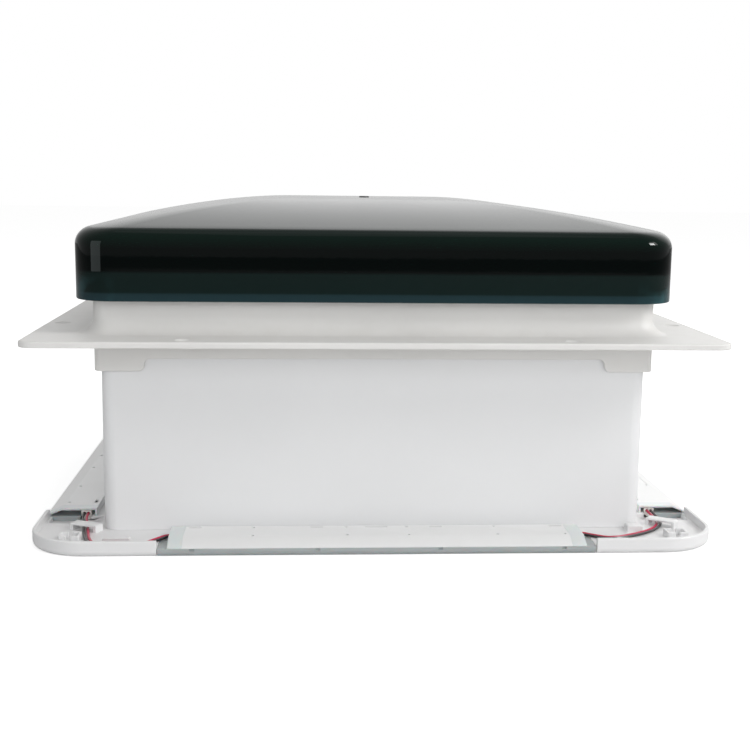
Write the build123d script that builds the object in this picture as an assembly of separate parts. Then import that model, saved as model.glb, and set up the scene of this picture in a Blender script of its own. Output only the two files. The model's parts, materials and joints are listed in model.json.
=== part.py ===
from build123d import *
import os
from math import cos, radians, tan

os.makedirs("parts", exist_ok=True)

# Caravan roof vent for a square roof cut-out. Millimetres, +Z up, origin at the centre of the cut-out on
# the roof's outer surface. The hinge side is +Y, and the side that lifts is -Y.

# Roof cut-out and general fits
cutout = 400.0
cutout_play = 2.0
slip = 0.3
run_fit = 0.05
over = 1.0

# Upper frame: flange on the roof, skirt through it and upstand round the opening
flange_reach = 44.0
flange_thick = 4.5
flange_corner = 11.0
flange_edge = 1.5
skirt_wall = 3.0
skirt_corner = 5.0
skirt_drop = 13.0
skirt_lug_drop = 22.0
skirt_lug_reach = 35.0
skirt_lug_curve = 4.4
neck_step = 1.0
neck_top = 31.0
neck_corner = 12.0
neck_root = 12.0
roof_screw_inset = 12.0
roof_screw_spread = 266.0
roof_screw_r = 2.5
roof_sink_r = 6.0
roof_sink_depth = 3.0

# Bosses in the frame's corners that take the long screws from below
boss_in = 14.0
boss_r = 5.5
boss_top = 8.0
boss_drop = 20.0
boss_web = 3.0
long_screw_r = 2.0
long_screw_bite = 14.0
long_head_r = 3.8
long_head = 2.4

# Rubber seal on the upstand
seal_height = 3.4
seal_width = 3.4
seal_round = 1.4

# Double-skinned dome
dome_overlap = 12.0
dome_cover = 3.0
dome_side = 48.1
dome_rise = 20.9
dome_wall = 3.0
dome_corner = 28.0
dome_shoulder = 12.0
plateau_half = 65.0
plateau_corner = 8.0
hip_bulge_share = 1.6
hip_step_shares = (0.0, 0.22, 0.46, 0.74, 1.0)
skin_gap = 9.0
inner_skin = 2.5
inner_inset = 15.0
inner_shoulder = 9.0
breather_r = 2.2
breather_head_r = 4.2
breather_head = 1.0
breather_stem = 5.0

# Carrier ring under the dome
carrier_side_gap = 3.5
carrier_inset = 15.0
carrier_height = 11.5
carrier_wall = 3.0
carrier_corner = 24.0

# Hinges behind the upstand
hinge_out = 7.0
hinge_below_lip = 8.0
hinge_spread = 240.0
hinge_pin_r = 2.5
knuckle_r = 4.8
knuckle_length = 24.0
ear_r = 6.0
ear_thick = 5.0
pin_head = 2.0
pin_head_r = 4.2
opening_angle = 45.0

# Lifting bow, its pivots and the tracks that its ends run in
bow_front_gap = 21.0
bow_side_gap = 25.0
arm_thick = 6.0
arm_eye_r = 8.0
arm_end_r = 7.5
arm_pocket_depth = 1.6
arm_pocket_edge = 3.0
bar_r = 5.0
bar_stub_r = 3.0
pivot_pin_r = 3.0
pivot_head = 1.7
pivot_head_r = 5.0
bracket_plate = 3.0
bracket_length = 44.0
bracket_height = 20.0
bracket_round = 4.0
bracket_boss_r = 8.5
bracket_rib = 3.0
bracket_screw_inset = 7.0
bracket_screw_lift = 5.0
bracket_screw_bite = 2.4
pivot_pin_end = 1.0
leaf_screw_bite = 2.6
track_gap = 5.0
track_wall = 2.5
track_web = 7.0
shoe_width = 9.2
shoe_length = 18.0
shoe_height = 10.0
shoe_round = 2.0
track_end_play = 0.5
grip_r = 9.5
grip_length = 124.0
grip_flute_r = 1.6
grip_flutes = 12
rest_spread = 230.0
rest_width = 16.0
rest_wall = 2.6
rest_base = 3.0
small_screw_r = 1.5
small_screw_play = 0.2
small_head_r = 2.9
small_head = 1.8

# Inner liner between the roof frame and the ceiling trim
ceiling_drop = 132.0
liner_wall = 2.5
liner_play = 0.5
liner_corner = 10.0
liner_rise = 2.0
liner_lug_drop = 58.0
liner_lug_thick = 3.0
liner_lug_reach = 30.0
liner_gusset = 12.0

# Ceiling trim: rim, floor and the lower ledge under the blinds
trim_overlap = 47.5
trim_corner = 40.0
trim_rim_wall = 3.0
trim_rim_height = 5.5
trim_floor = 5.5
trim_edge = 4.0
trim_top_edge = 1.0
ledge_reach = 24.3
ledge_thick = 2.5
ledge_corner = 18.0
collar_wall = 2.4
collar_height = 9.5

# Corner fittings on the trim: across as shares of the floor between liner and rim, along by their
# distances from the trim's outer edge
bridge_length = 22.0
bridge_width = 9.0
bridge_height = 5.4
bridge_leg = 2.6
bridge_roof = 1.6
bridge_round = 1.2
right_bridge_turn = -35.0
right_bridge_share = 0.393
right_bridge_along = 51.0
left_bridge_turn = 24.0
left_bridge_share = 0.27
left_bridge_along = 48.0
right_lug_along = (60.0, 48.5)
right_lug_across_shares = (0.09, 0.303)
left_lug_along = (71.0, 52.0)
left_lug_across_shares = (0.685, 0.81)
lug_height = 4.6
lug_round = 1.4
tower_x_shares = (0.26, 0.6)
tower_y_shares = (0.44, 0.71)
tower_height = 5.0
tower_wall = 1.8
tower_slot = 3.0

# Edge lamps on the four sides of the trim
lamp_end_inset = 90.5
side_lamp_end_inset = 85.0
guide_depth = 30.0
lamp_depth = 37.0
cover_wall = 1.5
cover_flat_depth = 26.0
cover_lip = 0.8
flap_length = 10.0
flap_end_gap = 6.7
side_flap_end_gap = 2.0
board_end_gap = 3.5
board_depth = 20.0
board_thick = 1.2
led_pitch = 18.4
led_size = 2.8
led_height = 1.0
lamp_slot_shares = (-0.845, -0.28, 0.28, 0.85)
lamp_slot = (9.0, 2.2)
lamp_middle_slot = (16.0, 2.2)
lamp_hole_shares = (-0.575, -0.142, 0.142, 0.555)
lamp_end_hole_share = 0.87
lamp_hole_r = 1.3
slot_row_inset = 3.4
hole_row_inset = 20.0
guide_notch = (3.2, 1.6)
socket_size = (8.0, 7.4, 6.6)
socket_end_gap = 1.0
socket_well = 3.0
pocket_length = 18.0
pocket_side = 5.0
pocket_floor = 2.0
socket_inset = 29.0
socket_bore_r = 1.25
socket_bore_depth = 5.0
wire_r = 0.9
wire_pitch = 2.9

# Pleated blind and screen in the trim
rail_depth = 14.0
rail_wall = 1.5
rail_end_wall = 3.0
layer_height = 9.5
cassette_depth = 26.0
cassette_back_gap = 15.0
pull_bar_depth = 8.0
pull_bar_groove = 2.4
handle_width = 70.0
handle_reach = 10.0
handle_round = 3.0
handle_slot = (44.0, 4.4)

# Derived places
skirt_half = cutout / 2 - cutout_play
shaft_half = skirt_half - skirt_wall
neck_half = skirt_half + neck_step
flange_half = skirt_half + flange_reach
neck_inner_corner = neck_corner - (neck_half - shaft_half)
dome_half = neck_half + dome_overlap
dome_inside = dome_half - dome_wall
dome_lip = neck_top - dome_cover
dome_edge = dome_lip + dome_side
dome_top = dome_edge + dome_rise
seal_top = neck_top + seal_height
carrier_bottom = seal_top + slip
carrier_top = carrier_bottom + carrier_height
carrier_half = dome_inside - carrier_side_gap
carrier_inner = shaft_half - carrier_inset
hinge_y = neck_half + hinge_out
hinge_z = dome_lip - hinge_below_lip
hinge_x = hinge_spread / 2
bow_x = shaft_half - bow_side_gap
bow_reach = (hinge_y + shaft_half - bow_front_gap) / 2
bow_pivot_y = hinge_y - bow_reach
bow_end_y = hinge_y - 2 * bow_reach
track_inner_x = bow_x + arm_thick / 2 + track_gap
track_cavity_x = track_inner_x + shoe_width + slip
track_outer_x = track_cavity_x + track_wall
track_half_height = shoe_height / 2 + slip + track_wall
slide_end_y = hinge_y - 2 * bow_reach * cos(radians(opening_angle))
liner_half = shaft_half - liner_play
liner_inside = liner_half - liner_wall
trim_half = liner_half + trim_overlap
trim_inside_corner = trim_corner - trim_rim_wall
floor_width = trim_half - trim_rim_wall - liner_half
rim_top = -ceiling_drop
floor_top = rim_top - trim_rim_height
trim_bottom = floor_top - trim_floor
ledge_top = trim_bottom + ledge_thick
collar_half = liner_inside - slip
bay_half = collar_half - collar_wall
collar_corner = liner_corner - liner_wall - slip
bay_corner = collar_corner - collar_wall
bay_end = bay_half - rail_end_wall
rail_inner_x = bay_half - rail_depth
ledge_half = bay_half - ledge_reach
lamp_rear = trim_half - lamp_depth
socket_place = trim_half - socket_inset
lamp_half = trim_half - lamp_end_inset
side_lamp_half = trim_half - side_lamp_end_inset
cover_half = lamp_half - flap_end_gap - flap_length
side_cover_half = side_lamp_half - side_flap_end_gap - flap_length
lamp_ends = ((lamp_half, cover_half), (side_lamp_half, side_cover_half)) * 2
layer_bottoms = (ledge_top + rail_wall, ledge_top + 2 * rail_wall + layer_height)
rail_top = ledge_top + 3 * rail_wall + 2 * layer_height
cassette_mouth = bay_half - cassette_depth
bar_outer = bay_end - cassette_back_gap
bar_inner = bar_outer - pull_bar_depth


def block(x_from, x_to, y_from, y_to, z_from, z_to):
    solid = Box(x_to - x_from, y_to - y_from, z_to - z_from, align=(Align.MIN, Align.MIN, Align.MIN))
    return Pos(x_from, y_from, z_from) * solid


def slab(half, corner, z_from, z_to):
    outline = RectangleRounded(2 * half, 2 * half, corner)
    return extrude(Plane.XY.offset(z_from) * outline, amount=z_to - z_from)


def ring(outer, outer_corner, inner, inner_corner, z_from, z_to):
    return slab(outer, outer_corner, z_from, z_to) - slab(inner, inner_corner, z_from - over, z_to + over)


def rod_x(x_from, x_to, y, z, r):
    solid = Cylinder(r, x_to - x_from, align=(Align.CENTER, Align.CENTER, Align.MIN))
    return Pos(x_from, y, z) * Rot(0, 90, 0) * solid


def rod_y(y_from, y_to, x, z, r):
    solid = Cylinder(r, y_to - y_from, align=(Align.CENTER, Align.CENTER, Align.MIN))
    return Pos(x, y_from, z) * Rot(-90, 0, 0) * solid


def rod_z(z_from, z_to, x, y, r):
    solid = Cylinder(r, z_to - z_from, align=(Align.CENTER, Align.CENTER, Align.MIN))
    return Pos(x, y, z_from) * solid


def prism_x(points, x_from, x_to):
    face = make_face(Polyline(*[(x_from, y, z) for y, z in points], close=True))
    return extrude(face, amount=x_to - x_from, dir=(1, 0, 0))


def left_of(solid):
    return mirror(solid, about=Plane.YZ)


def rear_of(solid):
    return mirror(solid, about=Plane.XZ)


def four_corners(solid):
    pair = [solid, left_of(solid)]
    return pair + [rear_of(one) for one in pair]


def turned(solid, turns):
    return Rot(0, 0, 90 * turns) * solid


def save(name, solid):
    export_step(solid, "parts/" + name + ".step")


def group(solids):
    return Compound(children=list(solids))


# A dome's form: upright sides, a rounded shoulder and four slightly bulging slopes up to a flat square top
def dome_form(half, corner, z_lip, z_edge, z_top, top_half, top_corner, shoulder):
    body = slab(half, corner, z_lip, z_edge)
    sections = []
    for share in hip_step_shares:
        level = z_edge + (z_top - z_edge) * (1 - (1 - share) ** hip_bulge_share)
        reach = half + (top_half - half) * share
        turn = corner + (top_corner - corner) * share
        outline = RectangleRounded(2 * reach, 2 * reach, turn)
        sections.append(Plane.XY.offset(level) * outline)
    body = body + loft(sections, ruled=True)
    rim = [e for e in body.edges() if abs(e.center().Z - z_edge) < slip and e.bounding_box().size.Z < slip]
    return fillet(rim, shoulder)


# Upper frame
def make_upper_frame():
    flange = slab(flange_half, flange_corner, 0, flange_thick)
    upstand = slab(neck_half, neck_corner, 0, neck_top)
    body = flange + upstand
    root = [e for e in body.edges() if abs(e.center().Z - flange_thick) < slip
            and max(abs(e.center().X), abs(e.center().Y)) < neck_half + slip]
    body = fillet(root, neck_root)
    rim = [e for e in body.edges() if abs(e.center().Z - flange_thick) < slip
           and max(abs(e.center().X), abs(e.center().Y)) > flange_half - flange_corner]
    body = fillet(rim, flange_edge)
    body = body + slab(skirt_half, skirt_corner, -skirt_lug_drop, 0)
    body = body - make_skirt_relief() - turned(make_skirt_relief(), 1)
    body = body - slab(shaft_half, neck_inner_corner, -skirt_lug_drop - over, neck_top + over)
    for x, y in roof_screw_places():
        hole = rod_z(-over, flange_thick + over, x, y, roof_screw_r)
        sink = Cone(roof_screw_r, roof_sink_r, roof_sink_depth, align=(Align.CENTER, Align.CENTER, Align.MAX))
        body = body - hole - Pos(x, y, flange_thick) * sink
    for boss in four_corners(make_corner_boss()):
        body = body + boss
    for ear in hinge_ears():
        body = body + ear
    for y, z in bracket_screw_places():
        pilot = rod_x(shaft_half - over, shaft_half + bracket_screw_bite, y, z, small_screw_r)
        body = body - pilot - left_of(pilot)
    return body


# The skirt is shallow along each side and deep at the corners, with an S-curve between
def make_skirt_relief():
    reach = skirt_half - skirt_lug_reach
    low = -skirt_lug_drop - over
    high = -skirt_drop
    points = [(-reach, low), (reach, low), (reach, high), (-reach, high)]
    face = make_face(Polyline(*[(x, -skirt_half - over, z) for x, z in points], close=True))
    cut = extrude(face, amount=2 * (skirt_half + over), dir=(0, 1, 0))
    inner = [e for e in cut.edges().filter_by(Axis.Y) if e.center().Z > high - slip]
    cut = fillet(inner, skirt_lug_curve)
    toe = skirt_lug_curve
    for side in (-1, 1):
        foot = block(0, toe, -skirt_half - over, skirt_half + over, -skirt_lug_drop - over,
                     -skirt_lug_drop + toe)
        wheel = rod_y(-skirt_half - 2 * over, skirt_half + 2 * over, toe, -skirt_lug_drop + toe, toe)
        flare = foot - wheel
        if side < 0:
            flare = left_of(flare)
        cut = cut + Pos(side * reach, 0, 0) * flare
    return cut


def roof_screw_places():
    line = flange_half - roof_screw_inset
    half = roof_screw_spread / 2
    along_x = [(sx * half, sy * line) for sx in (-1, 1) for sy in (-1, 1)]
    along_y = [(sx * line, sy * half) for sx in (-1, 1) for sy in (-1, 1)]
    return along_x + along_y


def make_corner_boss():
    place = shaft_half - boss_in
    post = rod_z(-boss_drop, boss_top, place, place, boss_r)
    high_web = block(place, shaft_half + over, place - boss_web / 2, place + boss_web / 2,
                     liner_rise + over, boss_top)
    cross_web = block(place - boss_web / 2, place + boss_web / 2, place, shaft_half + over,
                      liner_rise + over, boss_top)
    bore = rod_z(-boss_drop - over, long_screw_bite - boss_drop + over, place, place, long_screw_r)
    return post + high_web + cross_web - bore


def hinge_ears():
    profile_z = flange_thick - over
    wall = neck_half - over
    step = knuckle_length / 2 + slip
    ears = []
    for centre in (-hinge_x, hinge_x):
        for side in (-1, 1):
            inner = centre + side * step
            low = min(inner, inner + side * ear_thick)
            high = low + ear_thick
            foot = block(low, high, wall, hinge_y + ear_r, profile_z, hinge_z)
            shelf = block(low, high, wall, hinge_y, hinge_z, hinge_z + ear_r)
            eye = rod_x(low, high, hinge_y, hinge_z, ear_r)
            bore = rod_x(low - over, high + over, hinge_y, hinge_z, hinge_pin_r)
            ears.append(foot + shelf + eye - bore)
    return ears


# Hinge pins, each with a head at its outer end
def make_hinge_pins():
    reach = knuckle_length / 2 + slip + ear_thick
    pins = []
    for side in (-1, 1):
        shank = rod_x(-reach, reach, hinge_y, hinge_z, hinge_pin_r)
        head = rod_x(reach, reach + pin_head, hinge_y, hinge_z, pin_head_r)
        tail = fillet((shank + head).edges().sort_by(Axis.X)[0], hinge_pin_r * 0.3)
        pin = Pos(hinge_x, 0, 0) * tail
        pins.append(pin if side > 0 else left_of(pin))
    return pins


# A hinge leaf hangs between the carrier's rear wall and the dome's rear wall
def make_hinge_leaf():
    half = knuckle_length / 2
    knuckle = rod_x(-half, half, hinge_y, hinge_z, knuckle_r)
    plate = block(-half, half, carrier_half, dome_inside, hinge_z, carrier_top)
    leaf = knuckle + plate - rod_x(-half - over, half + over, hinge_y, hinge_z, hinge_pin_r + run_fit)
    for x in (-half / 2, half / 2):
        leaf = leaf - rod_y(carrier_half - over, carrier_half + leaf_screw_bite, x, leaf_screw_z(),
                            small_screw_r)
    return Pos(hinge_x, 0, 0) * leaf


def leaf_screw_z():
    return carrier_bottom + carrier_wall + (carrier_height - carrier_wall) / 2


def make_leaf_screws():
    screws = []
    for centre in (-hinge_x, hinge_x):
        for x in (-knuckle_length / 4, knuckle_length / 4):
            shank = rod_y(carrier_half - carrier_wall, carrier_half + leaf_screw_bite, centre + x,
                          leaf_screw_z(), small_screw_r)
            head = rod_y(carrier_half - carrier_wall - small_head, carrier_half - carrier_wall,
                         centre + x, leaf_screw_z(), small_head_r)
            screws.append(shank + head)
    return screws


# Rubber seal on the upstand
def make_rim_seal():
    middle = (neck_half + shaft_half) / 2
    outer = middle + seal_width / 2
    inner = middle - seal_width / 2
    seal = ring(outer, neck_corner, inner, neck_corner - seal_width, neck_top, seal_top)
    top = [e for e in seal.edges() if e.center().Z > seal_top - slip and e.bounding_box().size.Z < slip]
    return fillet(top, seal_round)


# Dome
def make_dome_outer():
    outside = dome_form(dome_half, dome_corner, dome_lip, dome_edge, dome_top, plateau_half,
                        plateau_corner, dome_shoulder)
    inside = dome_form(dome_inside, dome_corner - dome_wall, dome_lip - over, dome_edge - dome_wall,
                       dome_top - dome_wall, plateau_half, plateau_corner, dome_shoulder - dome_wall)
    return outside - inside - rod_z(dome_top - dome_wall - over, dome_top + over, 0, 0, breather_r)


def make_dome_inner():
    flange = slab(dome_inside, dome_corner - dome_wall, carrier_top, carrier_top + inner_skin)
    hump_half = dome_inside - inner_inset
    hump_corner = dome_corner - dome_wall - inner_shoulder
    hump_edge = dome_edge - dome_wall - skin_gap
    hump_top = dome_top - dome_wall - skin_gap
    outside = dome_form(hump_half, hump_corner, carrier_top, hump_edge, hump_top, plateau_half,
                        plateau_corner, inner_shoulder)
    inside = dome_form(hump_half - inner_skin, hump_corner - inner_skin, carrier_top - over,
                       hump_edge - inner_skin, hump_top - inner_skin, plateau_half, plateau_corner,
                       inner_shoulder - inner_skin)
    return flange + outside - inside


def make_breather_plug():
    head = rod_z(dome_top, dome_top + breather_head, 0, 0, breather_head_r)
    head = fillet(head.edges().sort_by(Axis.Z)[-1], breather_head * 0.7)
    return head + rod_z(dome_top - breather_stem, dome_top, 0, 0, breather_r)


def make_carrier():
    corner = carrier_corner
    inner_corner = corner - (carrier_half - carrier_inner) / 2
    body = ring(carrier_half, corner, carrier_inner, inner_corner, carrier_bottom, carrier_top)
    trough = ring(carrier_half - carrier_wall, corner - carrier_wall, carrier_inner + carrier_wall,
                  inner_corner, carrier_bottom + carrier_wall, carrier_top + over)
    body = body - trough
    for centre in (-hinge_x, hinge_x):
        for x in (-knuckle_length / 4, knuckle_length / 4):
            body = body - rod_y(carrier_half - carrier_wall - over, carrier_half + over, centre + x,
                                leaf_screw_z(), small_screw_r + small_screw_play)
    for x, y in track_screw_places():
        body = body - rod_z(carrier_bottom - over, carrier_bottom + carrier_wall + over, x, y,
                            small_screw_r + small_screw_play)
    return body


# Tracks under the carrier for the bow's sliding shoes
def track_ends():
    reach = shoe_length / 2 + track_end_play + track_wall
    return bow_end_y - reach, slide_end_y + reach


def track_screw_places():
    front, rear = track_ends()
    x = track_outer_x - track_web / 2
    inset = shoe_length / 2
    return [(side * x, y) for side in (-1, 1) for y in (front + inset, rear - inset)]


def make_track():
    front, rear = track_ends()
    rail = block(track_inner_x, track_outer_x, front, rear, hinge_z - track_half_height,
                 hinge_z + track_half_height)
    cavity = block(track_inner_x - over, track_cavity_x, front + track_wall, rear - track_wall,
                   hinge_z - shoe_height / 2 - slip, hinge_z + shoe_height / 2 + slip)
    web = block(track_outer_x - track_web, track_outer_x, front, rear, hinge_z + track_half_height - over,
                carrier_bottom)
    track = rail - cavity + web
    outer = [e for e in track.edges().filter_by(Axis.Z) if e.center().X > track_outer_x - slip]
    track = fillet(outer, track_wall / 2)
    for x, y in track_screw_places():
        if x > 0:
            track = track - rod_z(hinge_z + track_half_height, carrier_bottom + over, x, y, small_screw_r)
    return track


def make_track_screws():
    screws = []
    floor = carrier_bottom + carrier_wall
    for x, y in track_screw_places():
        shank = rod_z(hinge_z + track_half_height + slip, floor, x, y, small_screw_r)
        screws.append(shank + rod_z(floor, floor + small_head, x, y, small_head_r))
    return screws


# Sliding shoes on the ends of the bow's bar
def make_shoe():
    start = track_inner_x + slip
    body = block(start, start + shoe_width - slip, bow_end_y - shoe_length / 2, bow_end_y + shoe_length / 2,
                 hinge_z - shoe_height / 2, hinge_z + shoe_height / 2)
    body = fillet(body.edges().filter_by(Axis.X), shoe_round)
    return body - rod_x(start - over, start + shoe_width + over, bow_end_y, hinge_z, bar_stub_r + run_fit)


# Lifting bow: two arms, a cross bar and its grip
def make_bow_arm():
    inner = bow_x - arm_thick / 2
    outer = bow_x + arm_thick / 2
    pivot = rod_x(inner, outer, bow_pivot_y, hinge_z, arm_eye_r)
    end = rod_x(inner, outer, bow_end_y, hinge_z, arm_end_r)
    points = [(bow_pivot_y, hinge_z - arm_eye_r), (bow_pivot_y, hinge_z + arm_eye_r),
              (bow_end_y, hinge_z + arm_end_r), (bow_end_y, hinge_z - arm_end_r)]
    arm = prism_x(points, inner, outer) + pivot + end
    pocket_half = arm_end_r - arm_pocket_edge
    pocket_front = bow_end_y + 2 * arm_end_r
    pocket_rear = bow_pivot_y - 2 * arm_eye_r
    pocket = [(pocket_front, hinge_z - pocket_half), (pocket_rear, hinge_z - pocket_half),
              (pocket_rear, hinge_z + pocket_half), (pocket_front, hinge_z + pocket_half)]
    for near, far in ((inner - over, inner + arm_pocket_depth), (outer - arm_pocket_depth, outer + over)):
        cut = prism_x(pocket, near, far)
        arm = arm - fillet(cut.edges().filter_by(Axis.X), pocket_half * 0.9)
    arm = arm - rod_x(inner - over, outer + over, bow_pivot_y, hinge_z, pivot_pin_r + run_fit)
    return arm - rod_x(inner - over, outer + over, bow_end_y, hinge_z, bar_stub_r)


def make_bow_bar():
    shoulder = bow_x - arm_thick / 2
    tip = track_cavity_x - slip
    bar = rod_x(-shoulder, shoulder, bow_end_y, hinge_z, bar_r)
    return bar + rod_x(-tip, tip, bow_end_y, hinge_z, bar_stub_r)


def make_bow_grip():
    half = grip_length / 2
    grip = rod_x(-half, half, bow_end_y, hinge_z, grip_r)
    grip = fillet(grip.edges().filter_by(GeomType.CIRCLE), grip_r * 0.25)
    for step in range(grip_flutes):
        turn = 360 * step / grip_flutes
        flute = rod_x(-half * 0.84, half * 0.84, grip_r, 0, grip_flute_r)
        grip = grip - Pos(0, bow_end_y, hinge_z) * Rot(turn, 0, 0) * flute
    return grip - rod_x(-half - over, half + over, bow_end_y, hinge_z, bar_r)


# Brackets and pins that carry the bow on the upstand's side walls
def make_bow_bracket():
    face = shaft_half - bracket_plate
    plate = block(face, shaft_half, bow_pivot_y - bracket_length / 2, bow_pivot_y + bracket_length / 2,
                  hinge_z - bracket_height / 2, hinge_z + bracket_height / 2)
    plate = fillet(plate.edges().filter_by(Axis.X), bracket_round)
    tip = bow_x + arm_thick / 2 + slip
    boss = rod_x(tip, shaft_half, bow_pivot_y, hinge_z, bracket_boss_r)
    rib_points = [(bow_pivot_y - bracket_length / 2 + bracket_round, 0), (bow_pivot_y, tip - face),
                  (bow_pivot_y + bracket_length / 2 - bracket_round, 0)]
    face_points = [(face - depth if depth == 0 else tip + bracket_rib, y, hinge_z - bracket_rib / 2)
                   for y, depth in rib_points]
    rib = extrude(make_face(Polyline(*face_points, close=True)), amount=bracket_rib, dir=(0, 0, 1))
    bracket = plate + boss + rib
    for y, z in bracket_screw_places():
        bracket = bracket - rod_x(face - over, shaft_half + over, y, z, small_screw_r)
    return bracket - rod_x(tip - over, shaft_half - pivot_pin_end, bow_pivot_y, hinge_z, pivot_pin_r)


def bracket_screw_places():
    reach = bracket_length / 2 - bracket_screw_inset
    return [(bow_pivot_y + side * reach, hinge_z + side * bracket_screw_lift) for side in (-1, 1)]


def make_pivot_pin():
    inner = bow_x - arm_thick / 2 - slip
    shank = rod_x(inner, shaft_half - pivot_pin_end, bow_pivot_y, hinge_z, pivot_pin_r)
    head = rod_x(inner - pivot_head, inner, bow_pivot_y, hinge_z, pivot_head_r)
    head = fillet(head.edges().filter_by(GeomType.CIRCLE).sort_by(Axis.X)[0], pivot_head * 0.5)
    return shank + head


def make_bracket_screws():
    screws = []
    face = shaft_half - bracket_plate
    for y, z in bracket_screw_places():
        screw = rod_x(face, shaft_half + bracket_screw_bite, y, z, small_screw_r)
        screw = screw + rod_x(face - small_head, face, y, z, small_head_r)
        screws += [screw, left_of(screw)]
    return screws


# Rests on the front wall that the closed bow lies in
def make_bar_rest():
    centre = rest_spread / 2
    low = centre - rest_width / 2
    high = centre + rest_width / 2
    cradle_r = bar_r + slip
    plate = block(low, high, -shaft_half, rest_base - shaft_half, hinge_z - 2 * bar_r, hinge_z + 2 * bar_r)
    arm = block(low, high, -shaft_half, bow_end_y, hinge_z - cradle_r - rest_wall, hinge_z)
    cup = rod_x(low, high, bow_end_y, hinge_z, cradle_r + rest_wall)
    cup = cup - block(low - over, high + over, bow_end_y - 3 * bar_r, bow_end_y + 3 * bar_r, hinge_z,
                      hinge_z + 3 * bar_r)
    return plate + arm + cup - rod_x(low - over, high + over, bow_end_y, hinge_z, cradle_r)


# Inner liner with corner lugs for the long screws
def make_liner():
    top = liner_rise
    inner_corner = liner_corner - liner_wall
    body = ring(liner_half, liner_corner, liner_inside, inner_corner, floor_top, top)
    place = shaft_half - boss_in
    for lug in four_corners(make_liner_lug(place)):
        body = body + lug
    return body


def make_liner_lug(place):
    wall = liner_inside + liner_wall / 2
    far = liner_inside - liner_lug_reach
    shelf = liner_gusset
    top = -liner_lug_drop + liner_lug_thick
    points = [(wall, far), (wall, wall - shelf), (wall - shelf, wall), (far, wall), (far, place - boss_r),
              (place - boss_r, far)]
    face = make_face(Polyline(*[(x, y, -liner_lug_drop) for x, y in points], close=True))
    plate = extrude(face, amount=liner_lug_thick, dir=(0, 0, 1))
    return plate - rod_z(-liner_lug_drop - over, top + over, place, place, long_screw_r + small_screw_play)


def make_long_screws():
    place = shaft_half - boss_in
    shank = rod_z(-liner_lug_drop, long_screw_bite - boss_drop, place, place, long_screw_r)
    head = rod_z(-liner_lug_drop - long_head, -liner_lug_drop, place, place, long_head_r)
    head = fillet(head.edges().sort_by(Axis.Z)[0], long_head * 0.6)
    return four_corners(shank + head)


# Ceiling trim
def trim_blank():
    blank = slab(trim_half, trim_corner, trim_bottom, rim_top)
    low = [e for e in blank.edges() if e.center().Z < trim_bottom + slip and e.bounding_box().size.Z < slip]
    blank = fillet(low, trim_edge)
    high = [e for e in blank.edges() if e.center().Z > rim_top - slip and e.bounding_box().size.Z < slip]
    return fillet(high, trim_top_edge)


def make_trim():
    trim = trim_blank()
    trim = trim - slab(trim_half - trim_rim_wall, trim_inside_corner, floor_top, rim_top + over)
    trim = trim - slab(bay_half, bay_corner, ledge_top, floor_top + over)
    trim = trim - slab(ledge_half, ledge_corner, trim_bottom - over, ledge_top + over)
    collar = ring(collar_half, collar_corner, bay_half, bay_corner, floor_top - over,
                  floor_top + collar_height)
    trim = trim + collar
    right = corner_bridge(right_bridge_share, right_bridge_along, right_bridge_turn)
    left = corner_bridge(left_bridge_share, left_bridge_along, left_bridge_turn)
    fittings = [right, corner_lug(right_lug_along, right_lug_across_shares), corner_tower(),
                left_of(left), left_of(corner_lug(left_lug_along, left_lug_across_shares)),
                left_of(corner_tower())]
    for fitting in fittings:
        trim = trim + fitting + rear_of(fitting)
    for turns, (half, cover_end) in enumerate(lamp_ends):
        trim = trim - turned(lamp_bay(slip, half), turns) - turned(socket_wells(half, cover_end), turns)
    for pocket in four_corners(lamp_pocket()):
        trim = trim - pocket
    return trim


def lamp_bay(gap, lamp_end):
    half = lamp_end + gap
    return block(-half, half, -trim_half - over, guide_depth - trim_half + gap, trim_bottom - over,
                 rim_top + over)


# A pocket in the trim's floor at each end of a side lamp, where its wires come out
def lamp_pocket():
    return block(liner_half + pocket_side, trim_half - pocket_side, side_lamp_half,
                 side_lamp_half + pocket_length, trim_bottom + pocket_floor, floor_top + over)


# A piece's two sides across the floor, and its two ends along it
def across(shares):
    return [liner_half + share * floor_width for share in shares]


def along(insets):
    return [trim_half - inset for inset in insets]


def corner_bridge(share, inset, turn):
    half = bridge_length / 2
    side = bridge_width / 2
    top = floor_top + bridge_height
    arch = block(-half, half, -side, side, floor_top - over, top)
    arch = fillet([e for e in arch.edges().filter_by(Axis.Y) if e.center().Z > top - slip],
                  bridge_round)
    tunnel = block(bridge_leg - half, half - bridge_leg, -side - over, side + over, floor_top,
                   top - bridge_roof)
    return Pos(liner_half + share * floor_width, inset - trim_half, 0) * Rot(0, 0, turn) * (arch - tunnel)


def corner_lug(insets, shares):
    (x0, x1), (y0, y1) = along(insets), across(shares)
    top = floor_top + lug_height
    lug = block(x0, x1, y0, y1, floor_top - over, top)
    lug = fillet([e for e in lug.edges().filter_by(Axis.Y) if e.center().Z > top - slip], lug_round)
    return rear_of(lug)


def corner_tower():
    (x0, x1), (y0, y1) = across(tower_x_shares), across(tower_y_shares)
    top = floor_top + tower_height
    tower = block(x0, x1, y0, y1, floor_top - over, top)
    tower = fillet(tower.edges().filter_by(Axis.Z), tower_wall * 0.8)
    well = block(x0 + tower_wall, x1 - tower_wall, y0 + tower_wall, y1 - tower_wall, floor_top, top + over)
    middle = (x0 + x1) / 2
    slot = block(middle - tower_slot / 2, middle + tower_slot / 2, y0 - over, y1 + over, floor_top,
                 top + over)
    return rear_of(tower - well - slot)


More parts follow.
